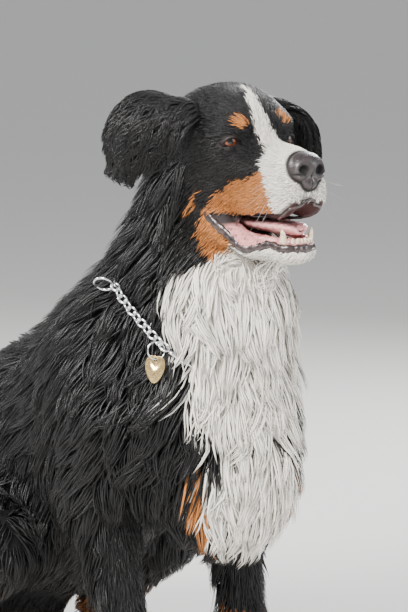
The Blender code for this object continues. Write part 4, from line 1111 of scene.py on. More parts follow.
STROKES = both_sides(COMB, 2)
STROKE_STARTS = np.array([stroke[0] for stroke in STROKES])
STROKE_WAYS = np.array([stroke[1] for stroke in STROKES]) - STROKE_STARTS
STROKE_LENGTHS = np.array([stroke[2] for stroke in STROKES])
CHUNK = 20000
GUIDE_CHUNK = 4000


def combed(points):
    """Lie and length of the hair at each place, from the strokes near it."""
    lies = np.empty_like(points)
    lengths = np.empty(len(points))
    squares = (STROKE_WAYS**2).sum(axis=1)
    for first in range(0, len(points), CHUNK):
        part = slice(first, first + CHUNK)
        away = points[part, None, :] - STROKE_STARTS
        share = np.clip((away * STROKE_WAYS).sum(axis=2) / squares, 0.0, 1.0)
        away = away - share[:, :, None] * STROKE_WAYS
        weight = 1.0 / ((away**2).sum(axis=2) + 1e-4) ** COMB_FALLOFF
        weight /= weight.sum(axis=1, keepdims=True)
        lies[part] = weight @ unit(STROKE_WAYS)
        lengths[part] = weight @ STROKE_LENGTHS
    lies[:, 2] -= SAG
    return unit(lies), lengths


print("comb strokes", len(STROKES))

# %% [markdown]
# ## Path of the collar
#
# The chain lies in a sloping plane round the neck, pressed into the coat. Rays from the middle
# of the neck find it: along each, halving steps find where the flesh with its undercoat ends.
# It shows only on the dog's right, where the coat under it is flattened.

# %% Collar path
COLLAR_MIDDLE = np.array([0.575, 0.0, 0.564])
COLLAR_NORMAL = unit(np.array([0.6, 0.0, 0.8]))
COLLAR_STATIONS = 36
COLLAR_LIFT = 0.006
HALVINGS = 18
UNDERCOAT = 0.0125
CHAIN_FIRST = 24
CHAIN_LAST = 30
LINK_PITCH = 0.0118
TAG_SHARE = 0.84
TAG_RING_RADIUS = 0.0115
TAG_RING_WIRE = 0.001
TAG_LIFT = 0.006
RING_TURN = math.radians(30)
TAG_HEIGHT = 0.037

collar_ahead = np.cross([0.0, 1.0, 0.0], COLLAR_NORMAL)
collar_turns = full_turn(COLLAR_STATIONS)
collar_rays = np.cos(collar_turns)[:, None] * collar_ahead + np.sin(collar_turns)[:, None] * [0, 1, 0]
near_end = np.zeros(COLLAR_STATIONS)
far_end = np.full(COLLAR_STATIONS, 0.5)
for _ in range(HALVINGS):
    half_way = (near_end + far_end) / 2
    outside = flesh(COLLAR_MIDDLE + collar_rays * half_way[:, None]) > UNDERCOAT
    far_end = np.where(outside, half_way, far_end)
    near_end = np.where(outside, near_end, half_way)
collar_loop = COLLAR_MIDDLE + collar_rays * (far_end + COLLAR_LIFT)[:, None]
chain_line = collar_loop[CHAIN_FIRST : CHAIN_LAST + 1]


def even_steps(line, pitch):
    """Places and directions at even steps along a chain of straight pieces."""
    pieces = lengths_of(np.diff(line, axis=0))
    reach = np.concatenate([[0.0], np.cumsum(pieces)])
    wanted = np.arange(int(reach[-1] / pitch) + 1) * pitch
    places = np.stack([np.interp(wanted, reach, line[:, axis]) for axis in range(3)], axis=1)
    piece = np.clip(np.searchsorted(reach, wanted, side="right") - 1, 0, len(pieces) - 1)
    return places, unit(np.diff(line, axis=0))[piece]


link_places, link_ways = even_steps(chain_line, LINK_PITCH)
link_outs = -unit(np.cross(np.cross(link_places - COLLAR_MIDDLE, link_ways), link_ways))
hang_place = link_places[round(TAG_SHARE * len(link_places))]
hang_slope = slope_of(flesh, hang_place[None], flesh(hang_place[None]))[0]
tag_out = unit(hang_slope)
tag_down = unit(np.array([0.0, 0.0, -1.0]) + tag_out * tag_out[2])
tag_out = unit(tag_out + 1.2 * camera_back)
tag_out = unit(tag_out - tag_down * (tag_out @ tag_down))
tag_side = unit(np.cross(tag_down, tag_out))
ring_across = unit(tag_side * math.cos(RING_TURN) + tag_out * math.sin(RING_TURN))
ring_middle = hang_place + tag_down * (TAG_RING_RADIUS + TAG_RING_WIRE) + tag_out * TAG_LIFT
tag_hole = ring_middle + tag_down * TAG_RING_RADIUS
tag_foot = tag_hole + tag_down * TAG_HEIGHT * 0.75
print("links", len(link_places), "tag at", tag_hole.round(3))


def line_distance(points, line):
    """Distance to the nearest of a line's straight pieces."""
    nearest = np.full(len(points), 1.0)
    for start, end in zip(line[:-1], line[1:]):
        along = end - start
        share = np.clip((points - start) @ along / (along @ along), 0.0, 1.0)
        nearest = np.minimum(nearest, lengths_of(points - start - share[:, None] * along))
    return nearest


END_RING_ROOM = link_places[0] - link_ways[0] * 0.02  # the end ring lies this far past the links
PRESSED_LINE = np.vstack([END_RING_ROOM, chain_line])
TAG_LINE = np.array([hang_place, tag_foot])
PRESSED_HEIGHT = 0.0115
CHAIN_ROOM = 0.009  # the coat is pressed this near the chain, and then rises by the slope
CHAIN_SLOPE = 0.55
TAG_ROOM = 0.013
TAG_SLOPE = 0.7


def room_for_collar(points, height):
    """The height of the coat, lowered beside the chain and behind the tag."""
    beside = line_distance(points, PRESSED_LINE)
    height = np.minimum(height, PRESSED_HEIGHT + CHAIN_SLOPE * np.maximum(beside - CHAIN_ROOM, 0.0))
    behind = line_distance(points, TAG_LINE)
    return np.minimum(height, PRESSED_HEIGHT + 0.002 + TAG_SLOPE * np.maximum(behind - TAG_ROOM, 0.0))


# %% [markdown]
# ## A map of the hide
#
# Each tuft gets a small patch of its own in a map named OFBake. The patches are laid out
# by an unwrap of the skin itself: a light copy of it is unwrapped, the roots of the hair are
# drawn on its faces, and each root knows its place in that unwrap.

# %% Unwrapped copy of the skin, and roots drawn on it
MAP_FACES = 9000
PATCH = 0.003


def unwrapped_copy(obj):
    """A light copy of a piece with a smart unwrap, as corner places and map places."""
    copy = show("hide_map", obj.data.copy())
    thin = copy.modifiers.new("thin", "DECIMATE")
    thin.ratio = min(1.0, MAP_FACES / (2.0 * len(obj.data.polygons)))
    even = copy.modifiers.new("even", "TRIANGULATE")
    even.quad_method = "BEAUTY"
    apply_modifiers(copy)
    bpy.context.view_layer.objects.active = copy
    copy.select_set(True)
    bpy.ops.object.mode_set(mode="EDIT")
    bpy.ops.mesh.select_all(action="SELECT")
    bpy.ops.uv.smart_project(angle_limit=math.radians(66), island_margin=0.004)
    bpy.ops.object.mode_set(mode="OBJECT")
    mesh = copy.data
    corners = np.empty(len(mesh.loops), dtype=np.int32)
    mesh.loops.foreach_get("vertex_index", corners)
    flat = np.empty(2 * len(mesh.loops))
    mesh.uv_layers.active.data.foreach_get("uv", flat)
    places = read_points(copy)[corners].reshape(-1, 3, 3)
    maps = flat.reshape(-1, 3, 2)
    bpy.data.objects.remove(copy)
    return places, maps


def draw_roots(places, maps, density, count, draw):
    """Roots at even steps of area times density over the faces, each at a random place in its face."""
    areas = lengths_of(np.cross(places[:, 1] - places[:, 0], places[:, 2] - places[:, 0]))
    weights = np.cumsum(areas * density(places.mean(axis=1)))
    wanted = (np.arange(count) + draw.random(count)) / count * weights[-1]
    face = np.searchsorted(weights, wanted)
    mix = draw.dirichlet((1.0, 1.0, 1.0), size=count)[:, :, None]
    return (places[face] * mix).sum(axis=1), (maps[face] * mix).sum(axis=1)


hide_places, hide_maps = unwrapped_copy(skin)
print("hide map", len(hide_places), "faces")

# %% [markdown]
# ## Tufts
#
# A tuft is a thin closed blade of a few dozen faces. Its middle line starts at the root and
# walks down the lie of the coat in even steps; after each step the field puts it back at its
# height above the skin. Nearby tufts lean towards a common guide, wave with it and end near its
# tip, which gives the long coat its locks. Short hair has shorter blades of fewer steps.

# %% Walk of the hair over the body
LONG_COAT = 0.03
COAT_DEPTH = 0.27  # height of the tips above the skin, per hair length
WAVE_SIZE = 0.055
FREE_FALL = 0.55
LEAN = 0.16
RISE_POWER = 1.6
LONGEST_PUSH = 0.02
LEAST_STEEPNESS = 0.3
FLOOR_CLEAR = 0.003
TAPER = 2.2


def walk(roots, lengths, steps, draw, wave, lift):
    """Places along each tuft: root, then steps along the lie, held at a height over the skin."""
    count = len(roots)
    path = [roots]
    here = roots
    phase = draw.uniform(0.0, 2 * math.pi, count)
    turns = draw.uniform(0.8, 1.5, count)
    swing = wave * draw.normal(0.0, 1.0, count)
    lean = draw.normal(0.0, LEAN * wave / WAVE_SIZE, count)
    depth = COAT_DEPTH * lengths * lift * draw.uniform(0.75, 1.25, count) + 0.0008
    slope = slope_of(flesh, here, flesh(here))
    for k in range(1, steps + 1):
        share = k / steps
        lie, _ = combed(here)
        normal = unit(slope)
        across = unit(np.cross(lie, normal))
        turn = swing * np.cos(2 * math.pi * turns * share + phase) * 2 * math.pi * 0.5 + lean
        way = unit(lie + across * turn[:, None])
        ahead = here + way * (lengths / steps)[:, None]
        height = room_for_collar(ahead, depth * (1.0 - (1.0 - share) ** RISE_POWER))
        for _ in range(2):
            now = flesh(ahead)
            slope = slope_of(flesh, ahead, now)
            off = now - height
            hold = np.where((off > 0) & (lengths > LONG_COAT), 1.0 - FREE_FALL * share, 1.0)
            push = np.clip(off, -LONGEST_PUSH, LONGEST_PUSH) * hold
            push = push / np.maximum((slope**2).sum(axis=1), LEAST_STEEPNESS)
            ahead = ahead - push[:, None] * slope
        ahead[:, 2] = np.maximum(ahead[:, 2], FLOOR_CLEAR + FLOOR_CLEAR * share)
        path.append(ahead)
        here = ahead
    return np.stack(path, axis=1)


def nearest_guides(roots, guides):
    """Index of the guide nearest to each root, by squared distances in blocks."""
    found = np.empty(len(roots), dtype=int)
    guide_squares = (guides**2).sum(axis=1)
    for first in range(0, len(roots), GUIDE_CHUNK):
        part = slice(first, first + GUIDE_CHUNK)
        squares = guide_squares - 2 * roots[part] @ guides.T
        found[part] = squares.argmin(axis=1)
    return found


def blades(path, widths, thick, normals_from):
    """Closed three-sided blades along paths: left edge, right edge and ridge at each step, one tip."""
    count, stations, _ = path.shape
    ahead = np.empty_like(path)
    ahead[:, 1:-1] = path[:, 2:] - path[:, :-2]
    ahead[:, 0] = path[:, 1] - path[:, 0]
    ahead[:, -1] = path[:, -1] - path[:, -2]
    ahead = unit(ahead)
    side = unit(np.cross(ahead, normals_from))
    up = np.cross(side, ahead)
    share = np.linspace(0.0, 1.0, stations)[:-1]
    profile = (0.55 + 0.45 * np.sin(math.pi * np.minimum(share * 1.5, 0.5))) * (1 - share**TAPER) + 0.08
    half = widths[:, None] * profile / 2
    middle = path[:, :-1]
    flat = side[:, :-1] * half[:, :, None]
    ridge = up[:, :-1] * (half * thick)[:, :, None]
    rings = np.stack([middle - flat - 0.3 * ridge, middle + ridge, middle + flat - 0.3 * ridge], axis=2)
    points = np.concatenate([rings.reshape(count, -1, 3), path[:, -1:]], axis=1)
    rows = stations - 1
    last = 3 * (rows - 1)
    tip = 3 * rows
    fans = np.array([[2, 1, 0], [last + 1, last, tip], [last + 2, last + 1, tip], [last, last + 2, tip]])
    across = np.concatenate([np.tile([0.0, 0.5, 1.0], rows), [0.5]])
    along = np.concatenate([np.repeat(share, 3), [1.0]])
    return points, (grid_faces(rows, 3, True)[:, ::-1], fans), across, along


MOST_TRIANGLES = 200000


def put_tufts(name, path, widths, thick, up, colors, maps, randoms, coat, slot):
    """One mesh of many blades, with their colours, their own coordinates and their map patches."""
    points, faces, across, along = blades(path, widths, thick, up)
    count, each, _ = points.shape
    blocks = repeated(faces, count, each)
    obj = put_mesh(name, points.reshape(-1, 3), blocks)
    add_attribute(obj, "coat", with_alpha(np.repeat(colors, each, axis=0)))
    strand = np.stack([np.tile(across, count), np.tile(along, count), np.repeat(randoms, each)], axis=1)
    add_attribute(obj, "strand", strand)
    patch = np.stack([np.tile(across, count) - 0.5, np.tile(along, count) - 0.5], axis=1) * PATCH
    spots = np.clip(np.repeat(maps, each, axis=0) + patch, 0.0, 1.0)
    corners = np.concatenate([block.ravel() for block in blocks])
    layer = obj.data.uv_layers.new(name="OFBake")
    layer.data.foreach_set("uv", spots[corners].astype(np.float32).ravel())
    dress(obj, COATS[coat], slot)
    triangles = 2 * len(blocks[0]) + len(blocks[1])
    assert triangles < MOST_TRIANGLES, (name, triangles)
    return triangles


# %% Long coat
SEED = 11
TONES = (0.85, 1.15)
WIDTHS = (0.7, 1.3)
LONG_TUFTS = 39000
GUIDES = 2100
LONG_STEPS = 5
CLUMP = 0.66
LONG_WIDTH = 0.0037
BLADE_THICK = 0.2
draw = np.random.default_rng(SEED)


def long_share(points):
    """How densely long hair grows: none on the face, mouth, paws and under the seat."""
    _, lengths = combed(points)
    return (lengths > LONG_COAT) * (points[:, 2] > 0.012) * 1.0


def clump_paths(roots, guides, guide_paths, paths, clump):
    """Each path leans to that of its nearest guide, more towards the tip."""
    share = np.linspace(0.0, 1.0, paths.shape[1])[None, :, None]
    lean = clump * share**1.2
    return paths * (1 - lean) + guide_paths[nearest_guides(roots, guides)] * lean


guide_roots, _ = draw_roots(hide_places, hide_maps, long_share, GUIDES, draw)
_, guide_lengths = combed(guide_roots)
guide_lengths = guide_lengths * draw.uniform(0.9, 1.2, GUIDES)
guide_paths = walk(guide_roots, guide_lengths, LONG_STEPS, draw, WAVE_SIZE * 2.2, 1.05)
long_roots, long_maps = draw_roots(hide_places, hide_maps, long_share, LONG_TUFTS, draw)
_, long_lengths = combed(long_roots)
long_lengths = long_lengths * draw.uniform(0.75, 1.15, LONG_TUFTS)
long_paths = walk(long_roots, long_lengths, LONG_STEPS, draw, WAVE_SIZE, 1.0)
long_paths = clump_paths(long_roots, guide_roots, guide_paths, long_paths, CLUMP)
long_paths[:, :, 2] = np.maximum(long_paths[:, :, 2], FLOOR_CLEAR)
print("long tufts walked", long_paths.shape)

# %% Colours of the tufts, and pieces by region


def tuft_colors(roots, draw):
    """Which coat each tuft belongs to, drawn by the markings, and its own tone."""
    white, rust = markings(roots, BORDER * 1.4)
    pick = draw.random(len(roots))
    kind = np.where(pick < white, 1, np.where(pick < white + rust, 2, 0))
    color = coat_colour(roots, (kind == 1) * 1.0, (kind == 2) * 1.0)
    tone = draw.uniform(*TONES, len(roots))
    return kind, color * tone[:, None]


def region_of(points):
    """Names for the pieces of the coat by side; where several rules hold, the last one counts."""
    x, y, z = points.T
    local = to_head(points)
    side = np.where(y > 0, "left", "right")
    region = np.where(x > 0.36, "shoulder", "flank")
    rules = (
        ("rump", (x < 0.13) & (z > 0.02)), ("neck", (z > 0.5) & (x > 0.34)),
        ("chest", (x > 0.59) & (z < 0.6) & (z > 0.2)), ("head", close_to(local, HEAD_MIDDLE, 0.125)),
        ("leg", (z < 0.2) & (x > 0.13)), ("tail", x < -0.115),
    )
    for name, there in rules:
        region = np.where(there, name, region)
    return np.char.add(np.char.add(region.astype("U12"), "_"), side)


KINDS = (("black", "black_coat"), ("white", "white_coat"), ("rust", "rust_coat"))
SHOWN_SHARE = 0.6


def put_coat(prefix, roots, paths, widths, thick, up, maps, draw):
    """The tufts as pieces by colour and region; a tuft's colour is that of the place it covers."""
    shown = paths[:, round(SHOWN_SHARE * (paths.shape[1] - 1))]
    kind, colors = tuft_colors(shown, draw)
    randoms = draw.random(len(roots))
    regions = region_of(roots)
    total = 0
    for index, (coat, slot) in enumerate(KINDS):
        for region in sorted(set(regions[kind == index])):
            pick = (kind == index) & (regions == region)
            total += put_tufts(
                f"{prefix}_{coat}_{region}", paths[pick], widths[pick], thick, up[pick],
                colors[pick], maps[pick], randoms[pick], coat, slot,
            )
    return total


def skin_normals(paths):
    """The field's slope along each path, as the way up for the blades."""
    count, stations, _ = paths.shape
    flat = paths.reshape(-1, 3)
    return unit(slope_of(flesh, flat, flesh(flat))).reshape(count, stations, 3)


long_widths = LONG_WIDTH * draw.uniform(*WIDTHS, LONG_TUFTS) * (0.6 + 0.4 * long_lengths / 0.08)
coat_triangles = put_coat(
    "coat", long_roots, long_paths, long_widths, BLADE_THICK, skin_normals(long_paths), long_maps, draw
)
print("long coat", coat_triangles, "triangles")

# %% [markdown]
# ## Short hair
#
# On the face, skull, legs and paws the hair is short and lies flat. Most of it is bump on the
# skin; small blades break the outline and carry the borders of the markings. They stay off the
# eyelids, the nose and the inside of the mouth.

# %% Short coat
SHORT_TUFTS = 26000
SHORT_STEPS = 3
SHORT_WIDTH = 0.0016
HEAD_ROOM = 0.135
FACE_FROM = -0.02  # the hair stands closer ahead of this
FACE_EXTRA = 1.2
LEG_SHARE = 0.42
NOSE_MARGIN = 0.0015
LID_MARGIN = 0.0018


def short_share(points):
    """How densely short hair grows: thickest on the face, none in the mouth or on bare rims."""
    _, lengths = combed(points)
    local = to_head(points)
    on_head = close_to(local, HEAD_MIDDLE, HEAD_ROOM)
    share = np.where(on_head, 1.0 + FACE_EXTRA * (local[:, 0] > FACE_FROM), LEG_SHARE)
    share = share * (lengths <= LONG_COAT) * (mouth_room(local) < 0.0)
    share = share * (blended(shapes_of(local, NOSE)) > NOSE_MARGIN) * (points[:, 2] > 0.004)
    for side in (1, -1):
        near = close_to(local, EYE_CENTRE * [1, side, 1], 0.028)
        share = share * np.where(near & (eye_opening(local, side) < LID_MARGIN), 0.0, 1.0)
    return share


short_roots, short_maps = draw_roots(hide_places, hide_maps, short_share, SHORT_TUFTS, draw)
short_roots = settle(short_roots, flesh, -0.0004, rounds=2)
keep = short_share(short_roots) > 0.0
short_roots, short_maps = short_roots[keep], short_maps[keep]
_, short_lengths = combed(short_roots)
short_lengths = short_lengths * draw.uniform(0.8, 1.25, len(short_roots))
short_paths = walk(short_roots, short_lengths, SHORT_STEPS, draw, WAVE_SIZE * 0.7, 0.55)
short_widths = SHORT_WIDTH * draw.uniform(*WIDTHS, len(short_roots)) * (0.7 + 18.0 * short_lengths)
short_triangles = put_coat(
    "hair", short_roots, short_paths, short_widths, BLADE_THICK, skin_normals(short_paths), short_maps, draw
)
print("short coat", len(short_roots), "tufts,", short_triangles, "triangles")

# %% [markdown]
# ## Ears
#
# An ear is a cupped leather flap, wide at the root and round at its end. It is a lens-shaped
# section carried along a bent line, the same rule as the solid. The right one is lifted out and
# back, the left one hangs. Hair lies along each flap and hangs in waves past its edges.

# %% Ear surface
EARS = {
    "left": (
        (-0.066, 0.056, 0.036), (-0.052, 0.116, 0.04), (-0.045, 0.102, -0.088),
        (0.95, 0.1, -0.1), (1.0, -0.15, 0.05),
    ),
    "right": (
        (-0.07, -0.054, 0.034), (-0.094, -0.12, 0.036), (-0.127, -0.127, -0.04),
        (0.9, -0.1, -0.2), (0.46, 0.397, -0.794),
    ),
}
EAR_WIDTH = 0.088
EAR_THICK = 0.01
EAR_CUP = 0.01


def ear_place(row, t, a):
    """A place on the flap: t along its bent line, a round its lens section; and its way out."""
    root, bend, tip, across_root, across_tip = (np.array(v) for v in row)
    t = t[:, None]
    middle = root * (1 - t) ** 2 + bend * 2 * t * (1 - t) + tip * t * t
    along = unit((bend - root) * (1 - t) + (tip - bend) * t)
    mix = np.minimum(1.0, 1.4 * t)
    across = across_root * (1 - mix) + across_tip * mix
    across = unit(across - along * (across * along).sum(axis=1, keepdims=True))
    out = unit(np.cross(across, along)) * (1 if root[1] > 0 else -1)
    t = t[:, 0]
    half = EAR_WIDTH / 2 * (0.72 + 1.2 * t - 0.9 * t * t) * np.sqrt(np.maximum(1 - t**3.2, 1e-6))
    u = np.cos(a)
    cup = EAR_CUP * (1 - u * u) * (1 - 0.4 * t)
    leather = EAR_THICK / 2 * np.sin(a) * (1 - 0.5 * t)
    return middle + across * (half * u)[:, None] + out * (cup + leather)[:, None], out, along, across


EAR_ROWS = 30
EAR_COLUMNS = 40


def ear_piece(label, row):
    """The flap as a closed grid: rings round the section, from the root to a rounded end."""
    t = np.repeat(np.linspace(0.0, 0.995, EAR_ROWS), EAR_COLUMNS)
    a = np.tile(full_turn(EAR_COLUMNS), EAR_ROWS)
    points = ear_place(row, t, a)[0]
    ends = np.vstack([points[:EAR_COLUMNS].mean(axis=0), points[-EAR_COLUMNS:].mean(axis=0)])
    body = from_head(np.vstack([points, ends]))
    faces = tube_faces(EAR_ROWS, EAR_COLUMNS)
    obj = put_mesh("ear_leather_" + label, body, turned(faces) if label == "left" else faces)
    add_attribute(obj, "coat", with_alpha(np.tile(BLACK, (len(body), 1))))
    return dress(obj, hide, "black_coat", "ear_" + label)


for label, row in EARS.items():
    ear_piece(label, row)
print("ears", EAR_ROWS * EAR_COLUMNS * 2, "points")

# %% Hair of the ears
EAR_TUFTS = 3000
EAR_HAIR = 0.034
EAR_STEPS = 5
EAR_WIDTHS = 0.0036
EAR_OVERHANG = 0.01
EAR_EDGE = 0.97  # share of the flap's line where the hair leaves it
EAR_INNER = 0.3  # share of the tufts that grow on the inner side
EAR_SWAY = 0.007
EAR_SPREAD = 0.12
GOLDEN_ANGLE = 2.39996  # parts the waves of neighbouring locks


def ear_hair(label, row, draw):
    """Tufts that start on the flap, follow it down and hang past its edge in waves."""
    t0 = draw.uniform(0.0, 0.93, EAR_TUFTS) ** 0.9
    within = draw.random(EAR_TUFTS) < EAR_INNER
    a0 = np.where(within, draw.uniform(-2.9, -0.2, EAR_TUFTS), draw.uniform(-0.35, math.pi + 0.35, EAR_TUFTS))
    length = EAR_HAIR * draw.uniform(0.7, 1.25, EAR_TUFTS) * np.where(within, 0.55, 0.75 + 0.35 * t0)
    clump = np.round(t0 * 7) + 17 * np.round(a0 * 3.5)
    wave_phase = (clump * GOLDEN_ANGLE) % (2 * math.pi)
    path = []
    hang = EAR_OVERHANG * draw.uniform(0.2, 1.9, EAR_TUFTS)
    reach = np.linalg.norm(np.array(row[2]) - np.array(row[1])) * 1.5
    here, out, _, _ = ear_place(row, t0, a0)
    face = np.where(within, -1.0, 1.0)[:, None]
    path.append(from_head(here))
    for k in range(1, EAR_STEPS + 1):
        share = k / EAR_STEPS
        t = t0 + length * share / reach
        past = np.maximum(t - EAR_EDGE, 0.0) * reach
        t = np.minimum(t, EAR_EDGE)
        over = hang * np.tanh(past / hang)
        on_flap, out_here, along_here, across_here = ear_place(row, t, a0)
        sway = np.sin(wave_phase + 5.0 * share) * EAR_SWAY * share
        drift = np.cos(a0) * EAR_SPREAD * length * share
        rise = (0.002 + 0.0055 * share**1.3) * np.where(within, 0.6, 1.0)
        here = on_flap + out_here * face * rise[:, None]
        here = here + across_here * (sway + drift)[:, None] + along_here * over[:, None]
        here[:, 2] -= 0.005 * share**2
        path.append(from_head(here))
    path = np.stack(path, axis=1)
    up = np.repeat((out * face @ HEAD_AXES.T)[:, None], EAR_STEPS + 1, axis=1)
    widths = EAR_WIDTHS * draw.uniform(*WIDTHS, EAR_TUFTS) * np.where(within, 0.6, 1.0)
    color = BLACK * draw.uniform(*TONES, EAR_TUFTS)[:, None]
    maps = np.stack([0.25 + 0.5 * t0, 0.5 + 0.1 * a0], axis=1)
    put_tufts(
        "ear_hair_" + label, path, widths, BLADE_THICK, up, color, maps, draw.random(EAR_TUFTS),
        "black", "black_coat",
    )
    return len(path)


print("ear tufts", [ear_hair(label, row, draw) for label, row in EARS.items()])

# %% [markdown]
# ## Eyes
#
# An eyeball is a ball with a clear bulge in front. Rings of points round the way it looks carry
# their angle from that axis as an attribute, and the material turns the angle into pupil, red
# brown iris, dark rim and white. A coat layer on the shader is the wet film.

# %% Eyeballs
EYE_RINGS = 40
EYE_SPOKES = 48
CORNEA_ANGLE = math.radians(42)
CORNEA_RISE = 0.0011
PUPIL_ANGLE = 16.0
IRIS_ANGLE = 38.0
FIBRES = 6
GAZE_TURN = {1: math.radians(20), -1: math.radians(-26)}

eye_material, eye_tree, eye_shader = new_material(
    "wet_eye", 0.25, Coat_Weight=0.7, Coat_Roughness=0.02, Specular_IOR_Level=0.2
)
gaze = add_node(eye_tree, "SeparateXYZ", {0: attribute_of(eye_tree, "gaze").outputs["Vector"]}).outputs
eye_ramp = add_node(eye_tree, "ValToRGB", {0: gaze["X"]})
EYE_STOPS = (
    (0.00, (0.002, 0.002, 0.003)), (PUPIL_ANGLE / 90, (0.003, 0.002, 0.002)),
    ((PUPIL_ANGLE + 2) / 90, (0.07, 0.016, 0.006)), (27.0 / 90, (0.2, 0.045, 0.012)),
    (IRIS_ANGLE / 90, (0.07, 0.016, 0.007)), ((IRIS_ANGLE + 3) / 90, (0.012, 0.007, 0.006)),
    ((IRIS_ANGLE + 8) / 90, (0.1, 0.07, 0.06)), (1.0, (0.3, 0.22, 0.19)),
)
while len(eye_ramp.color_ramp.elements) < len(EYE_STOPS):
    eye_ramp.color_ramp.elements.new(0.5)
for stop, (place_along, tint) in zip(eye_ramp.color_ramp.elements, EYE_STOPS):
    stop.position = place_along
    stop.color = (*tint, 1.0)
fibre_place = add_node(eye_tree, "CombineXYZ", {"X": gaze["Y"], "Y": gaze["Z"]}).outputs[0]
fibre_tone = ranged(eye_tree, noise(eye_tree, fibre_place, 1.0, 3.0), 0.3, 0.7, 0.65, 1.35)
feed(eye_tree, eye_shader, {"Base Color": scaled(eye_tree, eye_ramp.outputs[0], fibre_tone)})


def eyeball(side, label):
    """A ball in rings round the way it looks: radius plus a bulge that fades at the cornea's edge."""
    centre = EYE_CENTRE * [1, side, 1]
    look = unit(np.array([math.cos(GAZE_TURN[side]), math.sin(GAZE_TURN[side]), 0.02]))
    across = unit(np.cross(look, [0.0, 0.0, 1.0]))
    up = np.cross(across, look)
    theta = np.linspace(0.0, math.pi, EYE_RINGS + 1)[1:-1]
    phi = full_turn(EYE_SPOKES)
    bulge = CORNEA_RISE * np.clip(1 - (theta / CORNEA_ANGLE) ** 2, 0, 1) ** 1.5
    radius = EYE_RADIUS + bulge
    ring = (
        np.cos(theta)[:, None, None] * look
        + np.sin(theta)[:, None, None] * (np.cos(phi)[:, None] * across + np.sin(phi)[:, None] * up)
    ) * radius[:, None, None]
    front = look * (EYE_RADIUS + CORNEA_RISE)
    points = np.vstack([ring.reshape(-1, 3), front, -look * EYE_RADIUS]) + centre
    obj = put_mesh("eyeball_" + label, from_head(points), tube_faces(len(theta), EYE_SPOKES))
    angle = np.concatenate([np.repeat(theta, EYE_SPOKES), [0.0, math.pi]]) / (math.pi / 2)
    spoke, other = (np.append(np.tile(wave(phi) * FIBRES, len(theta)), [0, 0]) for wave in (np.cos, np.sin))
    add_attribute(obj, "gaze", np.stack([angle, spoke, other], axis=1))
    return dress(obj, eye_material, "iris_brown", "eye_" + label)


SIDES = ((1, "left"), (-1, "right"))
print("eyeballs", [eyeball(side, label).name for side, label in SIDES])

# %% [markdown]
# ## Eyelids
#
# The lids are one soft dark rim round each opening: a rounded band that lies on the eyeball,
# thicker above than below. Its section is carried round the almond outline of the opening, and
# the same pebbles as on the nose, much finer, keep the skin from looking like plastic.

# %% Lids
LID_SPOKES = 72
LID_SECTION = 14
LID_BAND = 0.004
LID_THICK = 0.0017

rim_material = pebbled_material(
    "lid_rim", 0.5, (1500.0, 500.0), 0.3, 0.7, (0.008, 0.006, 0.006), (0.026, 0.018, 0.017), 0.5, 0.0004,
    color=(0.02, 0.013, 0.012, 1.0), Specular_IOR_Level=0.35,
)[0]


def lid_ring(side, label):
    """A band round the almond: its section runs from the eyeball out over the skin and back."""
    centre, look, across, rise = eye_frame(side)
    a = full_turn(LID_SPOKES)
    s = full_turn(LID_SECTION)
    out_u, out_v = np.cos(a), np.sin(a)
    up_lid = np.clip(out_v, 0, 1)
    u = out_u * LID_LENGTH / 2
    v = out_v * np.abs(out_v) ** 0.35 * LID_HEIGHT / 2 + lid_middle(u)
    band = LID_BAND * (0.85 + 0.35 * up_lid)
    thick = LID_THICK * (0.8 + 0.7 * up_lid)
    inward = -0.45 + 0.5 * (1 + np.cos(s))
    grow = band[:, None] * inward
    lift = thick[:, None] * np.sin(s)[None] * 0.9 + 0.0007
    uu = u[:, None] + out_u[:, None] * grow
    vv = v[:, None] + out_v[:, None] * grow
    radius = EYE_RADIUS + 0.0008 + lift + np.clip(grow, 0, 1) * 0.12
    ahead = np.sqrt(np.maximum(radius**2 - uu**2 - vv**2, (0.45 * EYE_RADIUS) ** 2))
    points = centre + look * ahead[..., None] + across * uu[..., None] + rise * vv[..., None]
    faces = [ring_faces(LID_SPOKES, LID_SECTION)]
    obj = put_mesh("lids_" + label, from_head(points.reshape(-1, 3)), turned(faces) if side > 0 else faces)
    return dress(obj, rim_material, "black_coat")


print("lids", [lid_ring(side, label).name for side, label in SIDES])

# %% [markdown]
# ## Nose
#
# The nose leather is a blend of a few forms. The same block-out and slide as the skin make it, with
# points about a millimetre apart, and then two round nostrils, the slits beside them and the
# groove down the middle are pressed straight back. The leather is pebbled and a little wet, but
# dull inside the nostrils, where its colour is darkened by their depth as painted shade.

# %% Nose leather
NOSE_VOXEL = 0.0009
NOSE_FRONT = 0.088
NOSTRIL = ((0.108, 0.0132, -0.0325), (0.0062, 0.0056), 0.011)  # place, half sizes, depth
NOSTRIL_SLIT = ((0.1, 0.0205, -0.0385), (0.007, 0.0018), 0.0045)
GROOVE = ((0.11, 0.0000, -0.044), (0.0011, 0.016), 0.0026)
DENTS = (NOSTRIL, NOSTRIL_SLIT, GROOVE)
DENT_POWER = 4.0


def nose_field(points):
    """Distance to the blend of the nose forms."""
    return blended(shapes_of(to_head(points), NOSE))


def nose_dents(local):
    """How deep each place is pressed in: depth over one plus the scaled distance to a power."""
    deep = np.zeros(len(local))
    for centre, (half_side, half_height), depth in DENTS:
        side = (np.abs(local[:, 1]) - centre[1]) / half_side
        height = (local[:, 2] - centre[2]) / half_height
        dent = depth / (1.0 + (side**2 + height**2) ** (DENT_POWER / 2))
        deep = np.maximum(deep, dent * (local[:, 0] > NOSE_FRONT))
    return deep


nose_material, nose_tree, nose_shader, nose_tint = pebbled_material(
    "nose_leather", 0.34, (620.0, 150.0), 0.35, 0.68, (0.013, 0.009, 0.01), (0.04, 0.029, 0.03),
    0.8, 0.0007, Specular_IOR_Level=0.55, Coat_Weight=0.25, Coat_Roughness=0.25,
)
open_and_unshaded = attribute_of(nose_tree, "open_and_unshaded").outputs["Fac"]
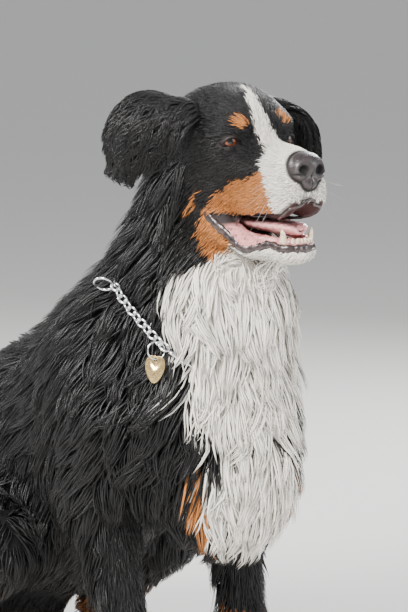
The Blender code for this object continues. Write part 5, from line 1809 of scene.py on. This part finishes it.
# Painted shade: the colour is darkened by the depth of the nostrils; they are also rougher there and without
# the wet coat.
feed(nose_tree, nose_shader, {
    "Base Color": scaled(nose_tree, nose_tint, open_and_unshaded),
    "Roughness": ranged(nose_tree, open_and_unshaded, 0.0, 1.0, 0.9, 0.36),
    "Coat Weight": ranged(nose_tree, open_and_unshaded, 0.0, 1.0, 0.0, 0.22),
})

nose = blocked_out("nose_leather", ((NOSE, from_head),), NOSE_VOXEL)
nose_points = settle(read_points(nose), nose_field, rounds=5, reach=0.003)
pressed = nose_dents(to_head(nose_points))
move_points(nose, nose_points - pressed[:, None] * HEAD_AXES[:, 0])
# Painted shade of the nostrils, and their dryness: one outside the dents, down to 0.03 deep in them.
add_attribute(nose, "open_and_unshaded", 1.0 - 0.97 * np.clip(pressed / 0.004 - 0.2, 0.0, 1.0))
dress(nose, nose_material, "nose_skin", "nose")
print("nose", len(nose_points), "points")

# %% [markdown]
# ## Lips, gums, tongue and teeth
#
# The lips are soft dark cords of skin with a bumpy edge, thicker below. Inside them run the pink
# gums that hold the lower teeth, and between these lies the tongue, grooved down its middle.
# Each is a section carried along its line, with slow and quick waves in its size.

# %% Flesh of the mouth


def wet_material(name, dark, bright, roughness, scale):
    """Wet mouth skin: two tones mixed by the crease noise, the darker one painted into the sunk creases as
    shade, with pebbles.
    """
    material, _, shader, _ = pebbled_material(
        name, roughness, (scale, scale / 4), 0.38, 0.62, dark, bright, 0.5, 0.0005,
        Specular_IOR_Level=0.6, Subsurface_Weight=0.15, Coat_Weight=0.3, Coat_Roughness=0.15,
    )
    shader.inputs["Subsurface Radius"].default_value = (0.006, 0.002, 0.0015)
    return material


lip_material = wet_material("lip_skin", (0.012, 0.008, 0.008), (0.055, 0.034, 0.033), 0.3, 700.0)
gum_material = wet_material("gum", (0.3, 0.1, 0.1), (0.74, 0.34, 0.32), 0.28, 420.0)
tongue_material = wet_material("tongue", (0.66, 0.28, 0.28), (0.84, 0.42, 0.41), 0.38, 1100.0)


def swept(name, line, radii, section, material, slot, wave, pitch, phase=0.0, wide=1.0):
    """An oval section carried along a line in head places, with waves in its radius, closed ends."""
    ahead = unit(np.gradient(line, axis=0))
    side = unit(np.cross(ahead, [0.0, 0.0, 1.0]))
    up = np.cross(side, ahead)
    reach = np.concatenate([[0.0], np.cumsum(lengths_of(np.diff(line, axis=0)))])
    a = full_turn(section)
    slow = np.sin(2 * math.pi * reach / pitch + phase)
    bumps = wave * (slow + 0.5 * np.sin(5.1 * math.pi * reach / pitch))
    round_bumps = bumps[:, None] * (0.6 + 0.4 * np.sin(2 * a + 9 * reach[:, None] / pitch))
    radius = radii[:, None] * (1 + round_bumps)
    points = (
        line[:, None] + side[:, None] * (radius * wide * np.cos(a))[..., None]
        + up[:, None] * (radius * np.sin(a))[..., None]
    )
    flat = np.vstack([points.reshape(-1, 3), line[0], line[-1]])
    return dress(put_mesh(name, from_head(flat), turned(tube_faces(len(line), section))), material, slot)


def whole_line(half, count):
    """A line that is given on the left, from the corner to the middle, as one from side to side."""
    line = curve_through(half, count)
    return np.vstack([line, line[-2::-1] * [1, -1, 1]])


def onto_flesh(line, depth, rounds=8):
    """The line moved sideways, out or in, until it lies at a depth in the flesh; its front stays."""
    line = line.copy()
    weight = np.clip(np.abs(line[:, 1]) / 0.02 - 0.5, 0.0, 1.0)
    for _ in range(rounds):
        line[:, 1] -= np.sign(line[:, 1]) * weight * np.clip(flesh(from_head(line)) + depth, -0.004, 0.004)
    return line


LIP_STATIONS = 90
LIP_SECTION = 16
UPPER_THICK = 0.0021
LOWER_THICK = 0.0056
GUM_THICK = 0.0066
upper_line = onto_flesh(whole_line(UPPER_LIP, LIP_STATIONS), 0.0006)
lower_line = onto_flesh(whole_line(LOWER_LIP, LIP_STATIONS), 0.001)
stations = np.arange(len(lower_line))
ends_thin = np.minimum(1.0, 0.35 + np.minimum(stations, stations[::-1]) / 10)
swept("upper_lip", upper_line, UPPER_THICK * ends_thin, LIP_SECTION, lip_material, "nose_skin", 0.1, 0.013)
swept(
    "lower_lip", lower_line, LOWER_THICK * ends_thin, LIP_SECTION, lip_material, "nose_skin", 0.16, 0.011,
    phase=1.0, wide=0.6,
)
GUM_LINE = np.array([
    (-0.034, 0.042, -0.096), (-0.01, 0.04, -0.112), (0.02, 0.034, -0.1215), (0.05, 0.027, -0.125),
    (0.07, 0.0195, -0.127), (0.081, 0.011, -0.1275), (0.0845, 0, -0.1275),
])
gum_line = whole_line(GUM_LINE, LIP_STATIONS)
swept(
    "lower_gum", gum_line, GUM_THICK * ends_thin, LIP_SECTION, gum_material, "tongue_skin", 0.1, 0.012,
    phase=2.0, wide=0.9,
)
print("lips", len(upper_line), "stations")

# %% Tongue
TONGUE_ROWS = 48
TONGUE_COLUMNS = 32
TONGUE_HALF = 0.0265
TONGUE_THICK = 0.0075
TONGUE_CUP = 0.0045
GROOVE_DEPTH = 0.003
GROOVE_HALF = 0.0035
TONGUE_LINE = np.array([
    (-0.062, 0, -0.094), (-0.04, 0, -0.1), (-0.01, 0, -0.107), (0.025, 0, -0.1095), (0.058, 0, -0.11),
    (0.083, 0, -0.113),
])


def tongue_piece():
    """A flat oval section along the tongue's line, sunk along its middle, with a round tip."""
    line = curve_through(TONGUE_LINE, TONGUE_ROWS)
    share = np.linspace(0.0, 1.0, TONGUE_ROWS)
    narrowing = np.maximum(1 - np.clip((share - 0.62) / 0.4, 0, 1) ** 2.6, 0.004)
    thinning = np.maximum(1 - np.clip((share - 0.7) / 0.31, 0, 1) ** 3, 0.02)
    half = TONGUE_HALF * np.sqrt(narrowing) * (0.82 + 0.2 * share)
    thick = TONGUE_THICK * np.sqrt(thinning)
    a = full_turn(TONGUE_COLUMNS)
    y = half[:, None] * np.cos(a)
    top = thick[:, None] * np.sin(a)
    cup = TONGUE_CUP * np.cos(a) ** 2 * (0.4 + 0.6 * share[:, None])
    groove = -GROOVE_DEPTH * np.exp(-((y / GROOVE_HALF) ** 2)) * (np.sin(a) > 0)
    z = line[:, 2][:, None] + top + cup + groove + 0.0006 * np.sin(70 * share[:, None] + 3 * np.cos(a))
    x = line[:, 0][:, None] + 0 * y
    points = np.stack([x, y, z], axis=-1).reshape(-1, 3)
    flat = np.vstack([points, points[:TONGUE_COLUMNS].mean(axis=0), points[-TONGUE_COLUMNS:].mean(axis=0)])
    obj = put_mesh("tongue_flesh", from_head(flat), tube_faces(TONGUE_ROWS, TONGUE_COLUMNS))
    return dress(obj, tongue_material, "tongue_skin", "tongue")


tongue_piece()
print("tongue", TONGUE_ROWS * TONGUE_COLUMNS, "points")

# %% Teeth and claws
tooth_material, tooth_tree, tooth_shader = new_material(
    "tooth_enamel", 0.22, (0.72, 0.62, 0.44, 1.0), Coat_Weight=0.4, Coat_Roughness=0.1,
    Subsurface_Weight=0.2,
)
tooth_shader.inputs["Subsurface Radius"].default_value = (0.002, 0.0015, 0.001)
tooth_noise = noise(tooth_tree, object_place(tooth_tree), 260.0, 3.0)
feed(tooth_tree, tooth_shader, {
    "Base Color": two_tones(tooth_tree, tooth_noise, 0.35, 0.65, (0.6, 0.47, 0.27), (0.8, 0.73, 0.58)),
})
claw_material, claw_tree, claw_shader = new_material("claw_horn", 0.34, Specular_IOR_Level=0.5)
claw_place = add_node(claw_tree, "Mapping", {
    "Vector": object_place(claw_tree), "Scale": (120.0, 900.0, 900.0),
}).outputs[0]
claw_noise = noise(claw_tree, claw_place, 1.0, 3.0)
feed(claw_tree, claw_shader, {
    "Base Color": two_tones(claw_tree, claw_noise, 0.35, 0.65, (0.03, 0.022, 0.018), (0.13, 0.1, 0.08)),
})


NEARLY_SIDEWAYS = (0.013, 1.0, 0.017)  # no tooth, claw or whisker points exactly this way


def horns(name, feet, ways, radii, heights, bends, material, slot, flat=1.0, rings=7, sides=10):
    """Tapered, bent points in one mesh, one from each foot: a circle that shrinks along a bent axis."""
    feet = np.asarray(feet)
    bends = np.broadcast_to(bends, feet.shape)
    ways = unit(np.broadcast_to(ways, feet.shape))
    side = unit(np.cross(ways, NEARLY_SIDEWAYS))
    other = np.cross(ways, side)
    share = np.linspace(0.0, 1.0, rings)[:-1]
    size = np.sqrt(1 - share**TAPER)
    a = full_turn(sides)[:, None]
    radii, heights = (np.broadcast_to(sizes, len(feet))[:, None] for sizes in (radii, heights))
    middle = (
        feet[:, None] + ways[:, None] * (share * heights)[..., None]
        + bends[:, None] * ((share**2) * heights)[..., None]
    )
    ring = np.cos(a) * side[:, None, None] + flat * np.sin(a) * other[:, None, None]
    points = middle[:, :, None] + ring * (radii * size)[..., None, None]
    tips = feet + ways * heights + bends * heights
    points = np.concatenate([points.reshape(len(feet), -1, 3), feet[:, None], tips[:, None]], axis=1)
    faces = repeated(turned(tube_faces(rings - 1, sides)), len(feet), points.shape[1])
    obj = put_mesh(name, points.reshape(-1, 3), faces)
    fix_normals(obj)
    return dress(obj, material, slot)


LOWER_TEETH = (  # foot from the middle of the eyes, radius, height, way; made on both sides
    ((0.0745, 0.0205, -0.1285), 0.0042, 0.0205, (0.12, 0.2, 1.0)),
    ((0.0835, 0.0142, -0.127), 0.0026, 0.0078, (0.25, 0.05, 1.0)),
    ((0.0862, 0.0088, -0.127), 0.0026, 0.0074, (0.28, 0.0, 1.0)),
    ((0.0872, 0.003, -0.127), 0.0026, 0.007, (0.28, 0.0, 1.0)),
)
TOOTH_BEND = (-0.1, 0.0, 0.0)
tooth_feet, tooth_radii, tooth_heights, tooth_ways = zip(*both_sides(LOWER_TEETH, 1))
tooth_ways = [(w[0], math.copysign(w[1], foot[1]), w[2]) for foot, w in zip(tooth_feet, tooth_ways)]
horns(
    "lower_teeth", from_head(tooth_feet), np.array(tooth_ways) @ HEAD_AXES.T, tooth_radii, tooth_heights,
    TOOTH_BEND @ HEAD_AXES.T, tooth_material, "white_coat", rings=8, sides=12,
)
CLAW_AHEAD = 0.013
CLAW_LOW = 0.003
CLAW_RADIUS = 0.004
CLAW_LENGTH = 0.018
CLAW_WAY = (1.0, 0.0, -0.1)
CLAW_BEND = (0.0, 0.0, -0.42)
claw_feet = np.array([(x + CLAW_AHEAD, s * y, z - CLAW_LOW) for x, y, z in toe_places() for s in (1, -1)])
horns(
    "claws", claw_feet, CLAW_WAY, CLAW_RADIUS, CLAW_LENGTH, CLAW_BEND, claw_material, "nose_skin", flat=0.75,
)
print("teeth", len(tooth_feet), "claws", len(claw_feet))

# %% Whiskers
whisker_material, _, _ = new_material("whisker", 0.4, (0.42, 0.4, 0.38, 1.0))
WHISKERS = 8
WHISKER_RADIUS = 0.00016
WHISKER_BEND = (-0.18, 0.0, -0.1)
whisker_feet = []
whisker_ways = []
for i in range(WHISKERS):
    row = i % 4
    rank = i // 4
    for side in (1, -1):
        whisker_feet.append((0.06 + 0.008 * rank, side * (0.0415 - 0.0012 * rank), -0.05 - 0.01 * row))
        whisker_ways.append((0.55, side * (1.0 - 0.1 * rank), -0.15 - 0.22 * row))
whisker_feet = settle(from_head(np.array(whisker_feet)), flesh, rounds=4)
horns(
    "whiskers", whisker_feet, np.array(whisker_ways) @ HEAD_AXES.T, WHISKER_RADIUS,
    draw.uniform(0.026, 0.048, len(whisker_feet)), WHISKER_BEND, whisker_material, "white_coat", sides=5,
)
print("whiskers", len(whisker_feet))

# %% [markdown]
# ## Collar and tag
#
# The collar is a chrome chain. Its links are oval rings that tilt one way and the other by turns,
# with a large round ring at the end. A thin ring holds a heart-shaped tag, left plain, cut from
# sheet and drilled. Each ring is a circle carried round an oval; the tag is an outline and a depth.

# %% Metals
scratches, scratch_in, scratch_out = new_group(
    "fine_scratches", [("Scale", FLOAT, 300.0)],
    [("Roughness", FLOAT), ("Height", FLOAT), ("Tone", FLOAT)],
)
scratch_place = add_node(scratches, "Mapping", {
    "Vector": object_place(scratches), "Scale": (1.0, 1.0, 9.0), "Rotation": (0.4, 0.7, 0.2),
}).outputs[0]
scratched = noise(scratches, scratch_place, scratch_in["Scale"], 6.0, 0.7)
feed(scratches, scratch_out, {
    "Roughness": ranged(scratches, scratched, 0.35, 0.7, 0.1, 0.38), "Height": scratched, "Tone": scratched,
})


def metal(name, dark, bright, scale):
    """Worn metal: scratches drive its roughness and a little of its colour."""
    material, tree, shader = new_material(name, 0.2, Metallic=1.0)
    wear = add_node(tree, "Group", {"Scale": scale}, node_tree=scratches).outputs
    feed(tree, shader, {
        "Roughness": wear["Roughness"], "Base Color": two_tones(tree, wear["Tone"], 0.3, 0.6, dark, bright),
        "Normal": relief(tree, wear["Height"], 0.15, 0.0002),
    })
    return material


chrome = metal("chrome", (0.62, 0.63, 0.65), (0.86, 0.87, 0.88), 500.0)
brass = metal("brass_tag", (0.74, 0.5, 0.2), (0.9, 0.66, 0.32), 260.0)
print("metals", chrome.name, brass.name)

# %% Chain, rings and tag
LINK_LONG = 0.0074
LINK_SHORT = 0.0052
LINK_WIRE = 0.00185
LINK_TURN = math.radians(38)
RING_RADIUS = 0.0125
RING_WIRE = 0.0018
HIDDEN_STATIONS = 150
HIDDEN_DEPTH = 0.015
HIDDEN_WIRE = 0.0026
TAG_WIDTH = 0.027
TAG_THICK = 0.0014
TAG_HOLE = 0.0026
TAG_HOLE_AT = 0.0062
TAG_NOTCH = 0.0018


def rings(name, centres, firsts, seconds, longs, shorts, wires, around=28, section=10):
    """Closed rings in one mesh, one at each centre: a circle of wire carried round an oval."""
    t = full_turn(around)[:, None]
    a = full_turn(section)[:, None]
    firsts, seconds, centres = (np.asarray(rows)[:, None] for rows in (firsts, seconds, centres))
    longs, shorts, wires = (
        np.broadcast_to(sizes, len(centres))[:, None, None] for sizes in (longs, shorts, wires)
    )
    axis = centres + firsts * longs * np.cos(t) + seconds * shorts * np.sin(t)
    ahead = unit(-firsts * longs * np.sin(t) + seconds * shorts * np.cos(t))
    face = np.cross(firsts, seconds)
    out = np.cross(ahead, face)
    ring = out[:, :, None] * np.cos(a) + face[:, :, None] * np.sin(a)
    points = axis[:, :, None] + ring * wires[..., None]
    faces = repeated([ring_faces(around, section)], len(centres), around * section)
    obj = put_mesh(name, points.reshape(-1, 3), faces)
    fix_normals(obj)
    return obj


link_count = len(link_places)
link_sides = unit(np.cross(link_ways, link_outs))
seen = np.arctan2(link_sides @ camera_back, link_outs @ camera_back)
turn = -(0.8 * seen + np.where(np.arange(link_count) % 2 == 1, LINK_TURN, -LINK_TURN))[:, None]
flat_way = link_sides * np.cos(turn) + link_outs * np.sin(turn)
chain = rings("chain_links", link_places, link_ways, flat_way, LINK_LONG, LINK_SHORT, LINK_WIRE)
dress(chain, chrome, "chrome_steel", "collar_chain")
ring_long = unit(0.25 * camera_up - camera_right)
ring_deep = unit(0.8 * camera_back + 0.55 * camera_up + 0.14 * camera_right)
end_centre = link_places[0] + ring_long * (LINK_LONG + RING_RADIUS - RING_WIRE - LINK_WIRE)
radii = [RING_RADIUS, TAG_RING_RADIUS]
end_rings = rings(
    "collar_rings", [end_centre, ring_middle], [ring_long, tag_down], [ring_deep, ring_across],
    radii, radii, [RING_WIRE, TAG_RING_WIRE], 56, 12,
)
dress(end_rings, chrome, "chrome_steel")
hidden_ends = np.vstack([collar_loop[CHAIN_LAST:], collar_loop[: CHAIN_FIRST + 1]])
hidden_loop = curve_through(hidden_ends, HIDDEN_STATIONS)
hidden_share = np.arange(HIDDEN_STATIONS) / (HIDDEN_STATIONS - 1)
sunk = np.clip(np.minimum(hidden_share, 1 - hidden_share) / 0.05, 0.0, 1.0)
hidden_height = UNDERCOAT + COLLAR_LIFT - HIDDEN_DEPTH * sunk
hidden_line = to_head(settle(hidden_loop, flesh, hidden_height, rounds=3, reach=0.02))
hidden_radii = np.full(HIDDEN_STATIONS, HIDDEN_WIRE)
swept("chain_under_coat", hidden_line, hidden_radii, 10, chrome, "chrome_steel", 0.12, LINK_PITCH)


def tag_outline(count):
    """A broad heart: an egg with its wide end up, a shallow notch above and a narrow foot."""
    t = full_turn(count)
    from_top = np.minimum(t, 2 * math.pi - t)
    u = np.sin(t) * (0.8 + 0.26 * np.cos(t)) / 0.84 * TAG_WIDTH / 2
    v = (np.cos(t) - 1) * TAG_HEIGHT / 2 + TAG_HOLE_AT - TAG_NOTCH * np.exp(-((from_top / 0.3) ** 2))
    return u, v


TAG_STEPS = 64
TAG_EDGE = 0.00045
tag_u, tag_v = tag_outline(TAG_STEPS)
tag_angle = np.arctan2(tag_u, tag_v)
hole_u, hole_v = np.sin(tag_angle) * TAG_HOLE, np.cos(tag_angle) * TAG_HOLE
TAG_SECTION = (  # share of the way from the hole to the edge, depth as a share of the thickness
    (1.0, -0.5), (1.0, 0.5), (0.975, 0.5), (0.93, 0.42), (0.5, 0.42), (0.0, 0.42),
    (0.0, -0.5), (0.5, -0.5), (0.975, -0.5),
)
tag_rings = []
for share, depth in TAG_SECTION:
    lift = depth * TAG_THICK if share < 1.0 else math.copysign(TAG_THICK / 2 - TAG_EDGE, depth)
    u = hole_u * (1 - share) + tag_u * share
    v = hole_v * (1 - share) + tag_v * share
    tag_rings.append(tag_hole + tag_side * u[:, None] - tag_down * v[:, None] + tag_out * lift)
tag = put_mesh("heart_tag", np.concatenate(tag_rings), [ring_faces(len(tag_rings), TAG_STEPS)])
fix_normals(tag)
dress(tag, brass, "tag_brass", "collar_tag")
print("chain", link_count, "links")

# %% [markdown]
# ## Floor
#
# The studio floor is a plain pale sheet. It is a disc of rings that grow by an even factor,
# closed by a fan in the middle. Far away it curves up, so that no horizon line shows.

# %% Floor
FLOOR_RINGS = 14
FLOOR_SPOKES = 64
FLOOR_FIRST = 0.5
FLOOR_GROWTH = 1.45
FLOOR_BEND = 15.0  # distance where the floor begins to rise
FLOOR_RISE = 0.006
spokes = full_turn(FLOOR_SPOKES)
floor_reach = (FLOOR_FIRST * FLOOR_GROWTH ** np.arange(FLOOR_RINGS))[:, None]
floor_rise = FLOOR_RISE * np.maximum(floor_reach - FLOOR_BEND, 0.0) ** 2 + 0 * spokes
disc = np.stack([floor_reach * np.cos(spokes), floor_reach * np.sin(spokes), floor_rise], axis=-1)
disc_quads, disc_fans = tube_faces(FLOOR_RINGS, FLOOR_SPOKES)
floor = put_mesh(
    "studio_floor", np.vstack([disc.reshape(-1, 3), [[0.0, 0.0, 0.0]]]),
    turned([disc_quads, disc_fans[:FLOOR_SPOKES]]),
)
floor_material, floor_tree, floor_shader = new_material("pale_floor", 0.75, (0.74, 0.73, 0.71, 1.0))
floor_noise = noise(floor_tree, object_place(floor_tree), 60.0, 4.0)
feed(floor_tree, floor_shader, {"Normal": relief(floor_tree, floor_noise, 0.05, 0.001)})
floor.data.materials.append(floor_material)
print("floor", FLOOR_RINGS, "rings")
